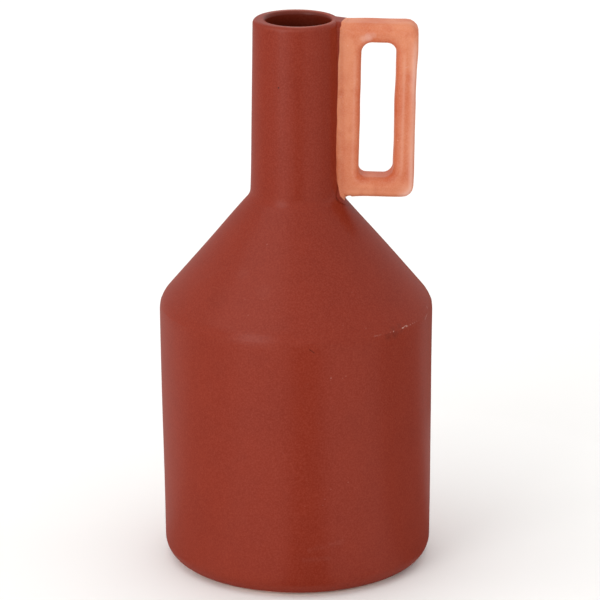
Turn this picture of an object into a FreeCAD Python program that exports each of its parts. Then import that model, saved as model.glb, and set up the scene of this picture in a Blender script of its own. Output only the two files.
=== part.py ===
"""Matt terracotta bottle vase with a square loop handle, as the sections it is luted from.

The frame has its origin at the centre of the foot, on the surface the vase stands on.
+Z runs up the turning axis and +X runs out to the handle. Lengths are in millimetres.

The vessel is one turned wall, worked out as a single closed section and then parted where
the potter joined it: a cup with the floor, a conical shoulder and a neck with the lip. The
handle is cut to a saddle that fits the neck. A thin layer of slip fills each joint.
"""

import FreeCAD, Part
import math
import os

# The vessel outside. Radii and heights are where two straight runs would cross, and a taper
# is how much the radius loses from the shoulder to the foot, or up the neck.
body_radius = 70.0
body_taper = 1.1
neck_foot_radius = 23.1
neck_taper = 1.2
vase_height = 285.0
shoulder_height = 137.9
neck_foot_height = 193.8
foot_radius = body_radius - body_taper
neck_top_radius = neck_foot_radius - neck_taper

# Rounds on the outside of the vessel.
foot_round = 9.0
shoulder_bend = 13.0
neck_cove = 10.0
lip_outer_round = 2.4

# The vessel inside.
wall_thickness = 5.5
floor_thickness = 7.0
lip_wall = 5.5
bore_radius = neck_top_radius - lip_wall
lip_inner_round = 2.0
throat_round = 4.0
floor_round = 10.0

# The foot ring that the vase stands on, round a shallow hollow.
foot_ring_width = 8.0
foot_hollow_depth = 2.0
foot_hollow_slope = 2.5

# Luting joints: the layer of slip, and the bead that squeezes out of it indoors.
slip_thickness = 0.6
bead_radius = 1.5
neck_joint_setback = 2.0

# The handle, a square-edged loop of soft section that leans out a little at its top.
handle_depth = 15.5
handle_bar = 9.35
handle_inner_leg = 9.75
handle_outer_leg = 10.6
finger_gap = 17.4
handle_top_drop = 1.6
handle_foot_rise = 0.5
handle_lean_degrees = 1.1
handle_corner_round = 5.0
gap_corner_round = 4.0
handle_edge_round = 3.0

# One overrun serves every cut. A round is held to a share of the wall beside it, and a round
# along an edge to a share of the corner that the edge runs round.
overrun = 6.0
wall_limit_share = 0.45
corner_limit_share = 0.9
full_turn_degrees = 360.0
cubic_mm_in_cm3 = 1000.0


def point(radius, height):
    """A point of the half section, at a radius from the axis and a height."""
    return FreeCAD.Vector(radius, 0, height)


def shifted(line, distance):
    """The line through two points, moved to the left of its direction by a distance."""
    start, end = line
    along = (end - start).normalize()
    left = FreeCAD.Vector(-along.z, 0, along.x)
    return start + left * distance, end + left * distance


def crossing(first, second):
    """The point where two lines of the half section cross."""
    start, along = first[0], first[1] - first[0]
    other, across = second[0], second[1] - second[0]
    gap = other - start
    share = (gap.x * across.z - gap.z * across.x) / (along.x * across.z - along.z * across.x)
    return start + along * share


def corner_arc(before, corner, after, radius):
    """The start, middle and end of the arc that rounds a corner between two runs."""
    back = (before - corner).normalize()
    ahead = (after - corner).normalize()
    half_angle = back.getAngle(ahead) / 2
    reach = radius / math.tan(half_angle)
    inward = (back + ahead).normalize()
    middle = corner + inward * (radius / math.sin(half_angle) - radius)
    return corner + back * reach, middle, corner + ahead * reach


def rounded_face(corners):
    """A flat face inside a closed run of (point, round radius) corners."""
    count = len(corners)
    bends = []
    for index, (corner, radius) in enumerate(corners):
        before = corners[index - 1][0]
        after = corners[(index + 1) % count][0]
        bends.append(corner_arc(before, corner, after, radius))
    edges = []
    for index, (start, middle, end) in enumerate(bends):
        if corners[index][1] > 0:
            edges.append(Part.Arc(start, middle, end).toShape())
        edges.append(Part.LineSegment(end, bends[(index + 1) % count][0]).toShape())
    return Part.Face(Part.Wire(edges))


def turned(face):
    """The solid that a half section makes when it is turned about the vase's axis."""
    return face.revolve(point(0, 0), FreeCAD.Vector(0, 0, 1), full_turn_degrees)


def outside_lines():
    """The straight runs of the outside: body wall, shoulder cone and neck, going up."""
    foot = point(foot_radius, 0)
    shoulder = point(body_radius, shoulder_height)
    neck_foot = point(neck_foot_radius, neck_foot_height)
    lip = point(neck_top_radius, vase_height)
    return (foot, shoulder), (shoulder, neck_foot), (neck_foot, lip)


def inside_lines():
    """The straight runs of the inside: body wall and cone a wall away, and the bore."""
    wall, cone, _ = outside_lines()
    bore = point(bore_radius, neck_foot_height), point(bore_radius, vase_height)
    return shifted(wall, wall_thickness), shifted(cone, wall_thickness), bore


def lip_rounds():
    """The lip's outer and inner rounds, each held to its share of the wall there."""
    limit = lip_wall * wall_limit_share
    return min(lip_outer_round, limit), min(lip_inner_round, limit)


def shoulder_corners():
    """The shoulder's corner outside and inside, where wall and cone would cross."""
    wall, cone, _ = outside_lines()
    inner_wall, inner_cone, _ = inside_lines()
    return crossing(wall, cone), crossing(inner_wall, inner_cone)


def inner_bend():
    """The round inside the shoulder, which keeps the wall even round the bend."""
    return max(shoulder_bend - wall_thickness, throat_round)


def vessel_wall():
    """The whole wall of the vase as one turned solid, from its foot ring to its lip."""
    inner_wall, inner_cone, bore = inside_lines()
    shoulder_out, shoulder_in = shoulder_corners()
    outer_lip, inner_lip = lip_rounds()
    floor_top = foot_hollow_depth + floor_thickness
    floor_line = point(0, floor_top), point(foot_radius, floor_top)
    ring_radius = foot_radius - foot_round - foot_ring_width
    corners = [
        (point(0, foot_hollow_depth), 0),
        (point(ring_radius - foot_hollow_slope, foot_hollow_depth), 0),
        (point(ring_radius, 0), 0),
        (point(foot_radius, 0), foot_round),
        (shoulder_out, shoulder_bend),
        (point(neck_foot_radius, neck_foot_height), neck_cove),
        (point(neck_top_radius, vase_height), outer_lip),
        (point(bore_radius, vase_height), inner_lip),
        (crossing(inner_cone, bore), throat_round),
        (shoulder_in, inner_bend()),
        (crossing(floor_line, inner_wall), floor_round),
        (point(0, floor_top), 0),
    ]
    return turned(rounded_face(corners))


def shoulder_joint():
    """The shoulder joint, a line that halves the bend from its outer to its inner corner."""
    return shoulder_corners()


def neck_joint():
    """The neck joint, a line square through the cone just below the cove at the neck."""
    _, cone, neck = outside_lines()
    corner = cone[1]
    down_cone = (cone[0] - corner).normalize()
    cove_start = corner_arc(cone[0], corner, neck[1], neck_cove)[0]
    outer = cove_start + down_cone * neck_joint_setback
    inward = FreeCAD.Vector(down_cone.z, 0, -down_cone.x)
    return outer, outer + inward * wall_thickness


def below(joint, rise):
    """Everything under a joint's line, with the line moved up the wall by a rise."""
    inner, outer = shifted((joint[1], joint[0]), rise)
    slope = (outer.z - inner.z) / (outer.x - inner.x)
    reach = body_radius + overrun
    at_axis = inner.z - inner.x * slope
    at_reach = inner.z + (reach - inner.x) * slope
    corners = [(0, -overrun), (reach, -overrun), (reach, at_reach), (0, at_axis)]
    return turned(rounded_face([(point(*corner), 0) for corner in corners]))


def joint_ring(wall, joint, seat):
    """The slip in a joint, with the pinched-up bead that it leaves at its seat indoors."""
    layer = wall.common(below(joint, slip_thickness / 2)).cut(below(joint, -slip_thickness / 2))
    outer, inner = joint
    inward = (inner - outer).normalize() * bead_radius
    upward = FreeCAD.Vector(inward.z, 0, -inward.x)
    points = [seat + inward, seat + upward, seat - inward, seat - upward]
    bead = turned(rounded_face([(corner, 0) for corner in points])).cut(wall)
    return layer.fuse(bead).removeSplitter()


def make_lower_body(wall):
    """The cup: floor, foot ring and straight wall, up to the joint in the shoulder bend."""
    return wall.common(below(shoulder_joint(), -slip_thickness / 2))


def make_shoulder(wall):
    """The cone between the two joints, with the upper half of the bend at its rim."""
    cone = wall.common(below(neck_joint(), -slip_thickness / 2))
    return cone.cut(below(shoulder_joint(), slip_thickness / 2))


def make_neck(wall):
    """The neck: flared foot with the cove, straight bore and rounded lip."""
    return wall.cut(below(neck_joint(), slip_thickness / 2))


def make_shoulder_slip(wall):
    """The ring of slip in the shoulder bend, whose outer edge shows as the seam line."""
    inner_wall, inner_cone, _ = inside_lines()
    corner = shoulder_corners()[1]
    seat = corner_arc(inner_wall[0], corner, inner_cone[1], inner_bend())[1]
    return joint_ring(wall, shoulder_joint(), seat)


def make_neck_slip(wall):
    """The ring of slip under the flared foot of the neck."""
    return joint_ring(wall, neck_joint(), neck_joint()[1])


def outside_form(growth):
    """The shoulder and neck as a solid of turned form, grown outwards by a distance."""
    wall, cone, neck = (shifted(line, -growth) for line in outside_lines())
    top = vase_height + growth
    lip_line = point(0, top), point(body_radius, top)
    base = shoulder_height / 2
    base_line = point(0, base), point(body_radius, base)
    corners = [
        (point(0, base), 0),
        (crossing(base_line, wall), 0),
        (crossing(wall, cone), shoulder_bend + growth),
        (crossing(cone, neck), neck_cove - growth),
        (crossing(neck, lip_line), lip_rounds()[0] + growth),
        (point(0, top), 0),
    ]
    return turned(rounded_face(corners))


def frame_face(left, right, bottom, top, corner_round):
    """A rectangle in the handle's plane with rounded corners."""
    corners = [(left, bottom), (right, bottom), (right, top), (left, top)]
    return rounded_face([(point(*corner), corner_round) for corner in corners])


def soft_edge_round():
    """The round on the handle's long edges, held to its corners, bars and depth."""
    return min(
        handle_edge_round,
        handle_corner_round * corner_limit_share,
        handle_bar * wall_limit_share,
        handle_depth * wall_limit_share,
    )


def handle_blank():
    """The handle's loop before it is fitted: square-cornered, soft-edged, leaning out.

    Its inner end runs on into the neck's wall, where the saddle is cut later.
    """
    foot = neck_foot_height + handle_foot_rise
    top = vase_height - handle_top_drop
    gap_left = (neck_foot_radius + neck_top_radius) / 2 + handle_inner_leg
    gap_right = gap_left + finger_gap
    inner_end = neck_top_radius - handle_bar
    outer_end = gap_right + handle_outer_leg
    outline = frame_face(inner_end, outer_end, foot, top, handle_corner_round)
    gap_foot, gap_top = foot + handle_bar, top - handle_bar
    gap = frame_face(gap_left, gap_right, gap_foot, gap_top, gap_corner_round)
    depth = FreeCAD.Vector(0, handle_depth, 0)
    loop = outline.cut(gap).extrude(depth)
    loop.translate(depth / -2)
    rims = [edge for edge in loop.Edges if edge.BoundBox.YLength < handle_depth / 2]
    loop = loop.makeFillet(soft_edge_round(), rims)
    gap_middle = point((gap_left + gap_right) / 2, (foot + top) / 2)
    loop.rotate(gap_middle, FreeCAD.Vector(0, 1, 0), handle_lean_degrees)
    return loop


def make_handle(blank):
    """The handle, cut to a saddle that leaves room for the slip on the neck."""
    return blank.cut(outside_form(slip_thickness))


def make_handle_slip(blank):
    """The saddle of slip between the handle's inner leg and the neck."""
    return blank.common(outside_form(slip_thickness)).cut(outside_form(0))


def write(name, shape):
    """Check a piece and write it as parts/NAME.step."""
    for solid in shape.Solids:
        if not solid.isValid() or solid.Volume <= 0:
            raise ValueError(f"{name} has a bad solid")
    if not shape.Solids:
        raise ValueError(f"{name} has no solid")
    piece = shape.Solids[0] if len(shape.Solids) == 1 else Part.makeCompound(shape.Solids)
    piece.exportStep(os.path.join("parts", f"{name}.step"))
    print(f"{name}: {len(shape.Solids)} solid, {piece.Volume / cubic_mm_in_cm3:.2f} cm3")


def main():
    """Make every piece and write it."""
    os.makedirs("parts", exist_ok=True)
    wall = vessel_wall()
    blank = handle_blank()
    write("lower_body", make_lower_body(wall))
    write("shoulder", make_shoulder(wall))
    write("neck", make_neck(wall))
    write("shoulder_slip", make_shoulder_slip(wall))
    write("neck_slip", make_neck_slip(wall))
    write("handle", make_handle(blank))
    write("handle_slip", make_handle_slip(blank))


main()
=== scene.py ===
"""Matt terracotta bottle vase with a salmon loop handle, dressed as the fired clay it is.

The frame has its origin at the centre of the foot, on the surface the vase stands on.
+Z runs up the turning axis and +X runs out to the handle. Shapes are worked out in
millimetres and written to the meshes in metres.
"""

import logging
import math
from dataclasses import dataclass, field
from enum import Enum
from functools import cached_property
from typing import Any, Sequence

import bpy
import numpy as np
from numpy.typing import NDArray
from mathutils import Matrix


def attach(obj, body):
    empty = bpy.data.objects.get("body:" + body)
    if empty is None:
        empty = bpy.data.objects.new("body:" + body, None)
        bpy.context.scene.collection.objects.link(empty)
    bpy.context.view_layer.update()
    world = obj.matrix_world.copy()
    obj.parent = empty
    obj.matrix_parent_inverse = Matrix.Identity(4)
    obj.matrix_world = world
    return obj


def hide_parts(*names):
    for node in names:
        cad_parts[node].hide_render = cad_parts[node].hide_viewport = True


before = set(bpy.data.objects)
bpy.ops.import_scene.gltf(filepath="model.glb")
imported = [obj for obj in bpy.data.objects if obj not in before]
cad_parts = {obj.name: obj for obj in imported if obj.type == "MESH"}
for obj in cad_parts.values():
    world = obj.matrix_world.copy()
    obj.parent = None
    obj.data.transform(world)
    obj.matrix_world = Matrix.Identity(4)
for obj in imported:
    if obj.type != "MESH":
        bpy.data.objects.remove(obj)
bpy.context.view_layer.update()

Array = NDArray[np.float64]
Socket = bpy.types.NodeSocket
Tone = Socket | str
Pair = tuple[float, float]
Triple = tuple[float, float, float]
Wave = tuple[int, float, float]

MM = 0.001
TURN = 2 * math.pi
TINY = 1e-9
ROOT = "root"
log = logging.getLogger("vase")


# Numbers and curves


def linear_colour(code: str) -> tuple[float, float, float, float]:
    """Turn an sRGB hex colour into the linear values that a shader takes.

    Args:
        code: six hex digits, with or without a leading hash.

    Returns:
        Red, green, blue and an alpha of one.
    """
    digits = code.lstrip("#")
    values = np.array([int(digits[index:index + 2], 16) for index in (0, 2, 4)]) / 255
    curved = ((values + 0.055) / 1.055) ** 2.4
    red, green, blue = np.where(values <= 0.04045, values / 12.92, curved)
    return float(red), float(green), float(blue), 1.0


def eased(values: Array, low: float, high: float) -> Array:
    """Rise from 0 at low to 1 at high, level at both ends: 3 t^2 - 2 t^3."""
    share = np.clip((values - low) / (high - low), 0, 1)
    return share * share * (3 - 2 * share)


def bell(values: Array, centre: float, width: float) -> Array:
    """A bell of height 1 at its centre: exp(-(distance / width)^2)."""
    return np.exp(-((values - centre) / width) ** 2)


def strongest(values: Array, bells: Sequence[Triple]) -> Array:
    """Read the highest of several bells.

    Args:
        values: where to read them.
        bells: each bell's centre, width and height.

    Returns:
        One height for each value.
    """
    highest = np.zeros_like(values)
    for centre, width, height in bells:
        highest = np.maximum(highest, height * bell(values, centre, width))
    return highest


def wavering(angle: Array, level: float, waves: Sequence[Wave]) -> Array:
    """A level that wavers round the axis, by share * sin(count * angle + phase) a wave.

    Args:
        angle: the angles, in radians.
        level: the mean level.
        waves: each wave's count, share and phase.

    Returns:
        One level for each angle.
    """
    return sum((share * np.sin(count * angle + phase) for count, share, phase in waves), level)


def round_angles(columns: int) -> Array:
    """The angles of so many columns, evenly once round."""
    return np.arange(columns) / columns * TURN


def quarter_left(direction: Array) -> Array:
    """The direction a quarter turn to the left of another."""
    return np.array([-direction[1], direction[0]])


def rounded_rectangle(
    hubs: Sequence[Sequence[float]], bends: Sequence[float], first: float, turn: float,
    arc_count: int, side_counts: Sequence[int],
) -> tuple[Array, Array]:
    """Lay points once round a rectangle whose corners are quarter circles.

    A side runs straight from the end of one circle to the start of the next. Directions
    are a circle's own radius on a corner, and square to a side.

    Args:
        hubs: the four circles' centres, in order.
        bends: their radii.
        first: the angle in degrees at which the first circle starts.
        turn: 90 or -90, the way round.
        arc_count: how many points each circle has.
        side_counts: how many points lie on the side after each circle.

    Returns:
        The points and the outward unit directions.
    """
    points, directions = [], []
    for index, (hub, bend, side_count) in enumerate(zip(hubs, bends, side_counts)):
        start = first + index * turn
        angle = np.radians(np.linspace(start, start + turn, arc_count))
        out = np.stack([np.cos(angle), np.sin(angle)], axis=1)
        points.append(np.array(hub) + out * bend)
        onward = (index + 1) % len(bends)
        end = np.array(hubs[onward]) + out[-1] * bends[onward]
        share = np.linspace(0, 1, side_count + 2)[1:-1, None]
        points.append(points[-1][-1] * (1 - share) + end * share)
        directions += [out, np.repeat(out[-1:], side_count, axis=0)]
    return np.concatenate(points), np.concatenate(directions)


@dataclass(frozen=True)
class Ripple:
    """A smooth unevenness in space, the sum of sine waves in many directions."""

    height: float
    shortest: float
    longest: float
    waves: int
    seed: int

    def at(self, points: Array) -> Array:
        """Read the ripple at points.

        Each wave is sin(2 pi p.d / length + phase) with its own direction d, length and
        phase, and the sum is scaled so that its usual size is the ripple's height.

        Args:
            points: places in millimetres, with x, y, z last.

        Returns:
            One height in millimetres for each place.
        """
        draw = np.random.default_rng(self.seed)
        direction = draw.normal(size=(self.waves, 3))
        direction /= np.linalg.norm(direction, axis=1, keepdims=True)
        length = np.exp(draw.uniform(math.log(self.shortest), math.log(self.longest), self.waves))
        phase = draw.uniform(0, TURN, self.waves)
        waves = np.sin(points @ (direction / length[:, None]).T * TURN + phase)
        return waves.sum(axis=-1) * self.height / math.sqrt(self.waves)


@dataclass(frozen=True)
class Corner:
    """A corner of a half section, where two straight runs would cross, and its round."""

    radius: float
    height: float
    bend: float = 0.0

    def place(self) -> Array:
        """The corner as a point."""
        return np.array([self.radius, self.height])


@dataclass(frozen=True)
class Joint:
    """A straight joint through the wall, from its outer to its inner point."""

    outer: Array
    inner: Array

    def outward(self) -> Array:
        """The unit direction from the inner point to the outer one."""
        return (self.outer - self.inner) / np.linalg.norm(self.outer - self.inner)

    def upward(self) -> Array:
        """The unit direction square to the joint's line."""
        return quarter_left(self.outward())

    def height_over(self, points: Array) -> Array:
        """How far points lie over the joint's line, measured square to it."""
        return (points - self.inner) @ self.upward()


class Run:
    """A line in the half section, read by the length along it.

    Its own values are the step between its points, how near a joint's point a crossing
    is looked for, the points on each round and the fewest on a stretch, and the spacing
    at a stretch's ends with the length over which it opens out.
    """

    grain = 0.05
    nearby = 4.0
    arc_points = 91
    fewest_points = 8
    end_spacing = 0.25
    end_length = 1.5

    def __init__(self, corners: Sequence[Corner]) -> None:
        """Lay points along straight runs whose corners are rounded by tangent arcs.

        A corner with half angle h keeps its straight runs up to bend / tan(h) from itself.
        The arc between them has its centre on the bisector, bend / sin(h) away.

        Args:
            corners: the corners in order, the first and last being the line's ends.
        """
        knots = [corners[0].place()]
        for before, corner, after in zip(corners, corners[1:], corners[2:]):
            knots.extend(self.rounded(before.place(), corner, after.place()))
        knots.append(corners[-1].place())
        rough = np.array(knots)
        lengths = np.concatenate([[0.0], np.cumsum(np.linalg.norm(np.diff(rough, axis=0), axis=1))])
        self.lengths = np.linspace(0, lengths[-1], math.ceil(lengths[-1] / self.grain))
        self.points = np.stack([np.interp(self.lengths, lengths, line) for line in rough.T], axis=1)
        tangent = np.gradient(self.points, axis=0)
        heading = np.unwrap(np.arctan2(tangent[:, 1], tangent[:, 0]))
        self.turning = np.abs(np.gradient(heading, self.lengths))

    @staticmethod
    def rounded(before: Array, corner: Corner, after: Array) -> Array:
        """The points that round one corner.

        Args:
            before: the point that the line comes from.
            corner: the corner and its round.
            after: the point that the line goes on to.

        Returns:
            Points on the arc, or the bare corner where it has no round.
        """
        place = corner.place()
        if corner.bend == 0:
            return place[None]
        back = (before - place) / np.linalg.norm(before - place)
        ahead = (after - place) / np.linalg.norm(after - place)
        half = math.acos(float(back @ ahead)) / 2
        inward = (back + ahead) / np.linalg.norm(back + ahead)
        centre = place + inward * corner.bend / math.sin(half)
        start = place + back * corner.bend / math.tan(half) - centre
        end = place + ahead * corner.bend / math.tan(half) - centre
        first, last = math.atan2(start[1], start[0]), math.atan2(end[1], end[0])
        swing = (last - first + math.pi) % TURN - math.pi
        angle = first + swing * np.linspace(0, 1, Run.arc_points)
        return centre + corner.bend * np.stack([np.cos(angle), np.sin(angle)], axis=1)

    def at(self, lengths: Array) -> Array:
        """The points at lengths along the line."""
        return np.stack([np.interp(lengths, self.lengths, line) for line in self.points.T], axis=1)

    def end(self) -> float:
        """The length of the whole line."""
        return float(self.lengths[-1])

    def meets(self, joint: Joint, place: Array, rise: float) -> float:
        """The length at which the line crosses a joint that is moved up by a rise.

        Args:
            joint: the joint.
            place: the joint's own point on this line, which tells its crossings apart.
            rise: how far over the joint's line the crossing lies.

        Returns:
            The length along the line.
        """
        near = np.linalg.norm(self.points - place, axis=1) < self.nearby
        over = joint.height_over(self.points[near]) - rise
        order = np.argsort(over)
        return float(np.interp(0.0, over[order], self.lengths[near][order]))

    def spaced(self, start: float, end: float, step: float, turn: float) -> Array:
        """Points from one length to another, closer together in bends and at both ends.

        The spacing is the integral of a density, which is the largest of 1 / step, the
        line's turning over the turn allowed, and a term that rises towards the two ends.

        Args:
            start: the length at which to begin.
            end: the length at which to stop, which may be the smaller one.
            step: the longest spacing in millimetres.
            turn: the most that the line may turn from point to point, in degrees.

        Returns:
            The points, as (radius, height).
        """
        low, high = min(start, end), max(start, end)
        count = max(math.ceil((high - low) / self.grain), self.fewest_points)
        lengths = np.linspace(low, high, count)
        turning = np.interp(lengths, self.lengths, self.turning) / math.radians(turn)
        to_end = np.minimum(lengths - low, high - lengths)
        edge = np.exp(-to_end / self.end_length) / self.end_spacing
        density = np.maximum.reduce([np.full_like(lengths, 1 / step), turning, edge])
        parts = (density[1:] + density[:-1]) / 2 * np.diff(lengths)
        total = np.concatenate([[0.0], np.cumsum(parts)])
        spaces = max(math.ceil(total[-1]), 2)
        picked = np.interp(np.linspace(0, total[-1], spaces + 1), total, lengths)
        return self.at(picked if start < end else picked[::-1])


# Meshes and pieces


def placed(name: str, data: bpy.types.ID) -> bpy.types.Object:
    """An object of a mesh, a light or a camera, put in the scene.

    Args:
        name: the object's name.
        data: what it shows.

    Returns:
        The object.
    """
    thing = bpy.data.objects.new(name, data)
    bpy.context.scene.collection.objects.link(thing)
    return thing


@dataclass
class Skin:
    """A closed surface: a grid of points whose columns run round, and what closes its ends.

    Where there are no poles the rows close on themselves as well.
    """

    grid: Array
    poles: tuple[Array, Array] | None = None
    marks: dict[str, Array] = field(default_factory=dict)

    def faces(self) -> tuple[NDArray[np.int64], NDArray[np.int64]]:
        """The quads between neighbouring points, and the triangles round the poles.

        Returns:
            The quads and the triangles, as rows of point numbers.
        """
        rows, columns = self.grid.shape[:2]
        row, column = np.meshgrid(
            np.arange(rows if self.poles is None else rows - 1), np.arange(columns), indexing="ij"
        )
        below, left = row * columns, column
        above, right = (row + 1) % rows * columns, (column + 1) % columns
        quads = np.stack([below + left, below + right, above + right, above + left], axis=-1)
        if self.poles is None:
            return quads.reshape(-1, 4), np.empty((0, 3), int)
        ring = np.arange(columns)
        onward = (ring + 1) % columns
        last = (rows - 1) * columns
        fans = np.concatenate([
            np.stack([onward, ring, np.full(columns, rows * columns)], axis=-1),
            np.stack([last + ring, last + onward, np.full(columns, rows * columns + 1)], axis=-1),
        ])
        return quads.reshape(-1, 4), fans

    def mesh(self, name: str, crease: float) -> bpy.types.Object:
        """Write the surface to a mesh object at the origin, faces outward.

        The side that the faces point to comes from the volume that they enclose, which is
        a sixth of the sum of a.(b x c) over the triangles.

        Args:
            name: the object's name.
            crease: the angle in degrees from which an edge shows sharp.

        Returns:
            The object.
        """
        points = self.grid.reshape(-1, 3)
        if self.poles is not None:
            points = np.concatenate([points, np.array(self.poles)])
        quads, fans = self.faces()
        triangles = np.concatenate([quads[:, [0, 1, 2]], quads[:, [0, 2, 3]], fans])
        a, b, c = (points[triangles[:, index]] for index in range(3))
        if np.einsum("ij,ij->", a, np.cross(b, c)) < 0:
            quads, fans = quads[:, ::-1], fans[:, ::-1]
        mesh = bpy.data.meshes.new(name)
        mesh.from_pydata((points * MM).tolist(), [], quads.tolist() + fans.tolist())
        for mark, values in self.marks.items():
            flat = values.reshape(-1)
            if self.poles is not None:
                flat = np.concatenate([flat, [values[0].mean(), values[-1].mean()]])
            layer = mesh.attributes.new(mark, "FLOAT", "POINT")
            layer.data.foreach_set("value", flat.astype(np.float32))
        mesh.shade_smooth()
        mesh.set_sharp_from_angle(angle=math.radians(crease))
        mesh.update()
        return placed(name, mesh)


class Slot(Enum):
    """The record's material slots."""

    TERRACOTTA = "terracotta"
    SALMON = "salmon"
    SLIP = "slip"


def install(piece: bpy.types.Object, node: str, material: bpy.types.Material) -> None:
    """Dress a piece, put it on the body and let it stand for its CAD node.

    Args:
        piece: the finished object.
        node: the CAD node that it replaces.
        material: the finish.
    """
    piece.data.materials.append(material)
    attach(piece, ROOT)
    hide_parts(node)
    log.info("%s stands for %s with %d faces", piece.name, node, len(piece.data.polygons))


# The vessel


@dataclass(frozen=True)
class Vessel:
    """The turned wall of the vase, in millimetres, and how the hand left it uneven.

    A name that ends in bell holds a centre and a width, and one in heights or radii the
    two places between which something sets in.
    """

    body_radius: float = 70.0
    body_taper: float = 1.1
    neck_foot_radius: float = 23.1
    neck_taper: float = 1.2
    height: float = 285.0
    shoulder_height: float = 137.9
    seam_drop: float = 1.3
    neck_foot_height: float = 193.8
    foot_round: float = 10.5
    shoulder_bend: float = 13.0
    neck_cove: float = 10.0
    cove_bend: float = 8.0
    lip_outer_round: float = 2.4
    wall: float = 5.5
    floor: float = 7.0
    lip_wall: float = 5.5
    lip_inner_round: float = 2.0
    throat_round: float = 4.0
    floor_round: float = 10.0
    ring_inner_round: float = 2.0
    ring_outer_round: float = 0.7
    ring_width: float = 8.0
    hollow_depth: float = 2.0
    hollow_slope: float = 2.5
    slip: float = 0.6
    bead: float = 1.5
    bead_squash: float = 0.8
    joint_setback: float = 2.0
    mouth_shift: float = 1.1
    mouth_heights: Pair = (230.0, 280.0)
    mouth_edge: float = 0.5
    foot_drift: float = 0.75
    body_lean: float = 0.17
    body_lean_bell: Pair = (108.0, 42.0)
    cone_lean: float = 0.4
    cone_lean_bell: Pair = (186.0, 13.0)
    # How dark the painted shade inside the vase gets.
    inside_shade: float = 0.86
    unevenness: Ripple = Ripple(height=0.07, shortest=45.0, longest=130.0, waves=9, seed=11)
    uneven_radii: Pair = (5.0, 20.0)
    least_inset: float = 0.005

    def cone_slope(self) -> Array:
        """The unit direction up the shoulder cone."""
        rise = np.array([
            self.neck_foot_radius - self.body_radius,
            self.neck_foot_height - self.shoulder_height,
        ])
        return rise / np.linalg.norm(rise)

    def inner_corners(self) -> tuple[Corner, Corner, Corner]:
        """The inside's floor, shoulder and throat corners, a wall away from the outside.

        Returns:
            The three corners, from the floor up.
        """
        cone = self.cone_slope()
        inward = quarter_left(cone) * self.wall
        start = np.array([self.body_radius, self.shoulder_height]) + inward
        lean = self.body_taper / self.shoulder_height
        wall_line = self.body_radius - self.body_taper - self.wall * math.hypot(1, lean)
        share = (wall_line + lean * start[1] - start[0]) / (cone[0] - lean * cone[1])
        shoulder = start + cone * share
        bore = self.bore_radius()
        throat = start + cone * (bore - start[0]) / cone[0]
        floor_top = self.hollow_depth + self.floor
        bend = max(self.shoulder_bend - self.wall, self.throat_round)
        return (
            Corner(wall_line + lean * floor_top, floor_top, self.floor_round),
            Corner(float(shoulder[0]), float(shoulder[1]), bend),
            Corner(bore, float(throat[1]), self.throat_round),
        )

    def bore_radius(self) -> float:
        """The radius of the straight bore."""
        return self.neck_foot_radius - self.neck_taper - self.lip_wall

    def rim_middle(self) -> Corner:
        """The middle of the lip's flat top, where the outside and the inside meet.

        Returns:
            The place, which has no round.
        """
        top = self.neck_foot_radius - self.neck_taper
        flat = self.lip_wall - self.lip_outer_round - self.lip_inner_round
        return Corner(top - self.lip_outer_round - flat / 2, self.height)

    def outside(self) -> Run:
        """The outside line, from the axis under the floor to the middle of the lip.

        Returns:
            The line.
        """
        foot = self.body_radius - self.body_taper
        ring = foot - self.foot_round - self.ring_width
        return Run([
            Corner(0.0, self.hollow_depth),
            Corner(ring - self.hollow_slope, self.hollow_depth, self.ring_inner_round),
            Corner(ring, 0.0, self.ring_outer_round),
            Corner(foot, 0.0, self.foot_round),
            Corner(self.body_radius, self.shoulder_height, self.shoulder_bend),
            Corner(self.neck_foot_radius, self.neck_foot_height, self.cove_bend),
            Corner(self.neck_foot_radius - self.neck_taper, self.height, self.lip_outer_round),
            self.rim_middle(),
        ])

    def inside(self) -> Run:
        """The inside line, from the middle of the lip down to the axis on the floor."""
        floor, shoulder, throat = self.inner_corners()
        return Run([
            self.rim_middle(),
            Corner(self.bore_radius(), self.height, self.lip_inner_round),
            throat,
            shoulder,
            floor,
            Corner(0.0, floor.height),
        ])

    def shoulder_joint(self) -> Joint:
        """The joint through the shoulder bend, from its outer to its inner corner.

        Its outer end sits a little below the corner, where the photo shows the seam.

        Returns:
            The joint.
        """
        _, inner, _ = self.inner_corners()
        outer = np.array([self.body_radius, self.shoulder_height - self.seam_drop])
        return Joint(outer, inner.place())

    def neck_joint(self) -> Joint:
        """The joint square through the cone, just below the cove at the neck.

        Returns:
            The joint.
        """
        cone = self.cone_slope()
        corner = np.array([self.neck_foot_radius, self.neck_foot_height])
        neck = np.array([-self.neck_taper, self.height - self.neck_foot_height])
        half = math.acos(float(-cone @ neck / np.linalg.norm(neck))) / 2
        outer = corner - cone * (self.neck_cove / math.tan(half) + self.joint_setback)
        return Joint(outer, outer + quarter_left(cone) * self.wall)

    def cuts(self, joint: Joint, rise: float) -> Pair:
        """Where a joint that is moved up by a rise cuts the outside and the inside.

        Args:
            joint: the joint.
            rise: how far it is moved, square to itself.

        Returns:
            The length along the outside line and the one along the inside line.
        """
        return (
            self.outside().meets(joint, joint.outer, rise),
            self.inside().meets(joint, joint.inner, rise),
        )

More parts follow.
